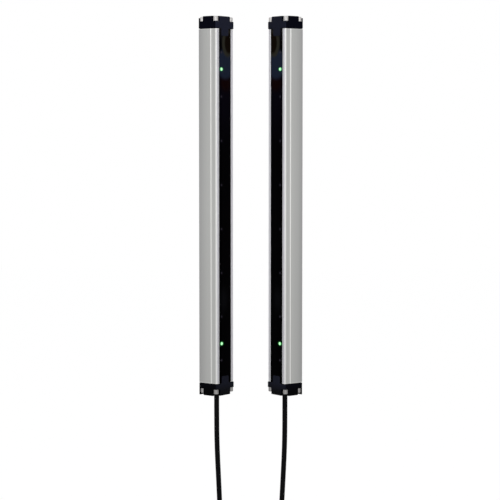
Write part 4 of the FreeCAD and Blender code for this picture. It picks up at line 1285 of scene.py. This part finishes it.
# %% [markdown]
# ### Plug
#
# The cord ends in a round machine plug: a moulded body with a ribbed boot that takes the bend, a
# fluted grip, a threaded metal collar, and an insert with a keyway and four gilt pins. Each of
# its pieces hangs straight down from the cord's end, at zero.

# %% Plug body: boot, shoulder and grip
plug_body, entry = geometry_tree(
    "plug_body",
    {
        "Cord End": 4.0 * MM,
        "Shoulder": 6.6 * MM,
        "Boot": 20.0 * MM,
        "Slope": 3.0 * MM,
        "Grip": 13.0 * MM,
        "Grip Radius": 6.9 * MM,
        "Boot Ribs": 6,
        "Flutes": 18,
        "Rib": 0.4 * MM,
        "Flute Above": 1.2 * MM,
        "Flute Below": 0.6 * MM,
    },
)
boot_low = negative(plug_body, entry["Boot"])
grip_high = math_node(plug_body, "SUBTRACT", boot_low, entry["Slope"])
grip_low = math_node(plug_body, "SUBTRACT", grip_high, entry["Grip"])
boot = tapered(plug_body, entry["Shoulder"], entry["Cord End"], boot_low, entry["Boot"])
shoulder = tapered(plug_body, entry["Grip Radius"], entry["Shoulder"], grip_high, entry["Slope"])
grip = upright(plug_body, entry["Grip Radius"], grip_low, grip_high)

# %% Plug body: ribs that widen with the boot, and flutes round the grip
FLUTE_SIDES = 12

gaps = math_node(plug_body, "ADD", entry["Boot Ribs"], 1)
rib_pitch = vector(plug_body, z=math_node(plug_body, "DIVIDE", boot_low, gaps))
rib_spots = row_of_points(
    plug_body, entry["Boot Ribs"], rib_pitch, **{"Start Location": rib_pitch}
)
height = axes_of(plug_body, plug_body.nodes.new("GeometryNodeInputPosition").outputs[0])["Z"]
down = math_node(plug_body, "DIVIDE", height, boot_low)
taper = math_node(plug_body, "SUBTRACT", entry["Shoulder"], entry["Cord End"])
widening = math_node(plug_body, "MULTIPLY", down, taper)
rib_radius = math_node(plug_body, "ADD", entry["Cord End"], widening)
rib_scale = math_node(plug_body, "DIVIDE", rib_radius, entry["Shoulder"])
rib = ring(plug_body, entry["Shoulder"], entry["Rib"])
ribs = on_points(plug_body, rib_spots, rib, Scale=vector(plug_body, rib_scale, rib_scale, 1.0))

flute_low = math_node(plug_body, "ADD", grip_low, entry["Flute Above"])
flute_high = math_node(plug_body, "SUBTRACT", grip_high, entry["Flute Below"])
flute = upright(plug_body, entry["Rib"], flute_low, flute_high, sides=FLUTE_SIDES)
flute_spots = circle_of_points(plug_body, entry["Flutes"], entry["Grip Radius"])
flutes = on_points(plug_body, flute_spots, flute)
close_tree(plug_body, entry, joined(plug_body, boot, shoulder, grip, ribs, flutes))

# %% Plug collar: knurled flange and thread
ALONG_PLUG = (-60.0 * MM, -20.0 * MM)
COLLAR_TOP = -36.0 * MM
FLANGE_SIDES = 60
TURN_STEPS = 36
CREST_SIDES = 4

plug_collar, entry = geometry_tree(
    "plug_collar",
    {
        "Top": COLLAR_TOP,
        "Flange Radius": 7.0 * MM,
        "Flange": 3.0 * MM,
        "Root Radius": 5.7 * MM,
        "Bore": 4.95 * MM,
        "Thread": 10.0 * MM,
        "Turns": 9.0,
        "Crest": 0.28 * MM,
        "Run Out": 0.6 * MM,
        "Knurl": 0.12 * MM,
    },
)
flange_low = math_node(plug_collar, "SUBTRACT", entry["Top"], entry["Flange"])
thread_low = math_node(plug_collar, "SUBTRACT", flange_low, entry["Thread"])
bore = upright(plug_collar, entry["Bore"], *ALONG_PLUG)
flange = upright(plug_collar, entry["Flange Radius"], flange_low, entry["Top"], sides=FLANGE_SIDES)
flange = cut(plug_collar, knurled(plug_collar, flange, entry["Knurl"]), bore)
root = upright(plug_collar, entry["Root Radius"], thread_low, flange_low)
both_ends = math_node(plug_collar, "MULTIPLY", entry["Run Out"], 2.0)
helix = add_node(
    plug_collar,
    "GeometryNodeCurveSpiral",
    {
        "Resolution": TURN_STEPS,
        "Rotations": entry["Turns"],
        "Start Radius": entry["Root Radius"],
        "End Radius": entry["Root Radius"],
        "Height": math_node(plug_collar, "SUBTRACT", entry["Thread"], both_ends),
    },
)
crest = round_path(plug_collar, entry["Crest"], CREST_SIDES)
thread = swept(plug_collar, helix.outputs["Curve"], crest, **{"Fill Caps": True})
thread_foot = math_node(plug_collar, "ADD", thread_low, entry["Run Out"])
crests = moved(plug_collar, thread, Translation=vector(plug_collar, z=thread_foot))
collar = joined(plug_collar, flange, cut(plug_collar, root, bore), crests)
close_tree(plug_collar, entry, collar)

# %% Plug insert with its keyway
plug_insert, entry = geometry_tree(
    "plug_insert",
    {"Radius": 4.9 * MM, "Top": COLLAR_TOP, "Bottom": -43.0 * MM, "Key": 1.0 * MM},
)
plastic = upright(plug_insert, entry["Radius"], entry["Bottom"], entry["Top"])
key = upright(plug_insert, entry["Key"], *ALONG_PLUG, sides=SHANK_SIDES)
key = moved(plug_insert, key, Translation=vector(plug_insert, x=entry["Radius"]))
close_tree(plug_insert, entry, cut(plug_insert, plastic, key))

# %% Plug pins with round tips
PIN_SEGMENTS = 20

plug_pins, entry = geometry_tree(
    "plug_pins",
    {"Circle": 3.0 * MM, "Radius": 0.48 * MM, "Top": -42.5 * MM, "Tip": -48.5 * MM, "Count": 4},
)
pin = upright(plug_pins, entry["Radius"], entry["Tip"], entry["Top"], sides=PIN_SEGMENTS)
tip = ball(plug_pins, entry["Radius"], PIN_SEGMENTS)
tip = moved(plug_pins, tip, Translation=vector(plug_pins, z=entry["Tip"]))
pin_spots = circle_of_points(plug_pins, entry["Count"], entry["Circle"])
close_tree(plug_pins, entry, on_points(plug_pins, pin_spots, joined(plug_pins, pin, tip)))

# %% Hang the plugs on the cords
PLUG_PARTS = {
    "plug_body": ("plug_moulding", plug_body),
    "plug_collar": ("threaded_collar", plug_collar),
    "plug_insert": ("keyed_insert", plug_insert),
    "plug_pins": ("contact_pins", plug_pins),
}
for bar, cord in cords.items():
    place = Matrix.Translation(cord["end"])
    [
        grow_piece(bar, name, node, tree, place) for node, (name, tree) in PLUG_PARTS.items()
    ]

# %% [markdown]
#
# Each cord rides on the body and stands for its CAD node; its bush sits at its top and its plug
# hangs from its end. The last calls print its length, as the spline gives it.

# %% Cords and finish
for bar, cord in cords.items():
    curve = cord["object"]
    curve.data.materials.append(finish_of(f"{bar}_cord"))
    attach(curve, BODY)
    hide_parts(f"{bar}_cord")
    print(f"{curve.name}: {cord['length'] / MM:.1f} mm, with its bush and plug")
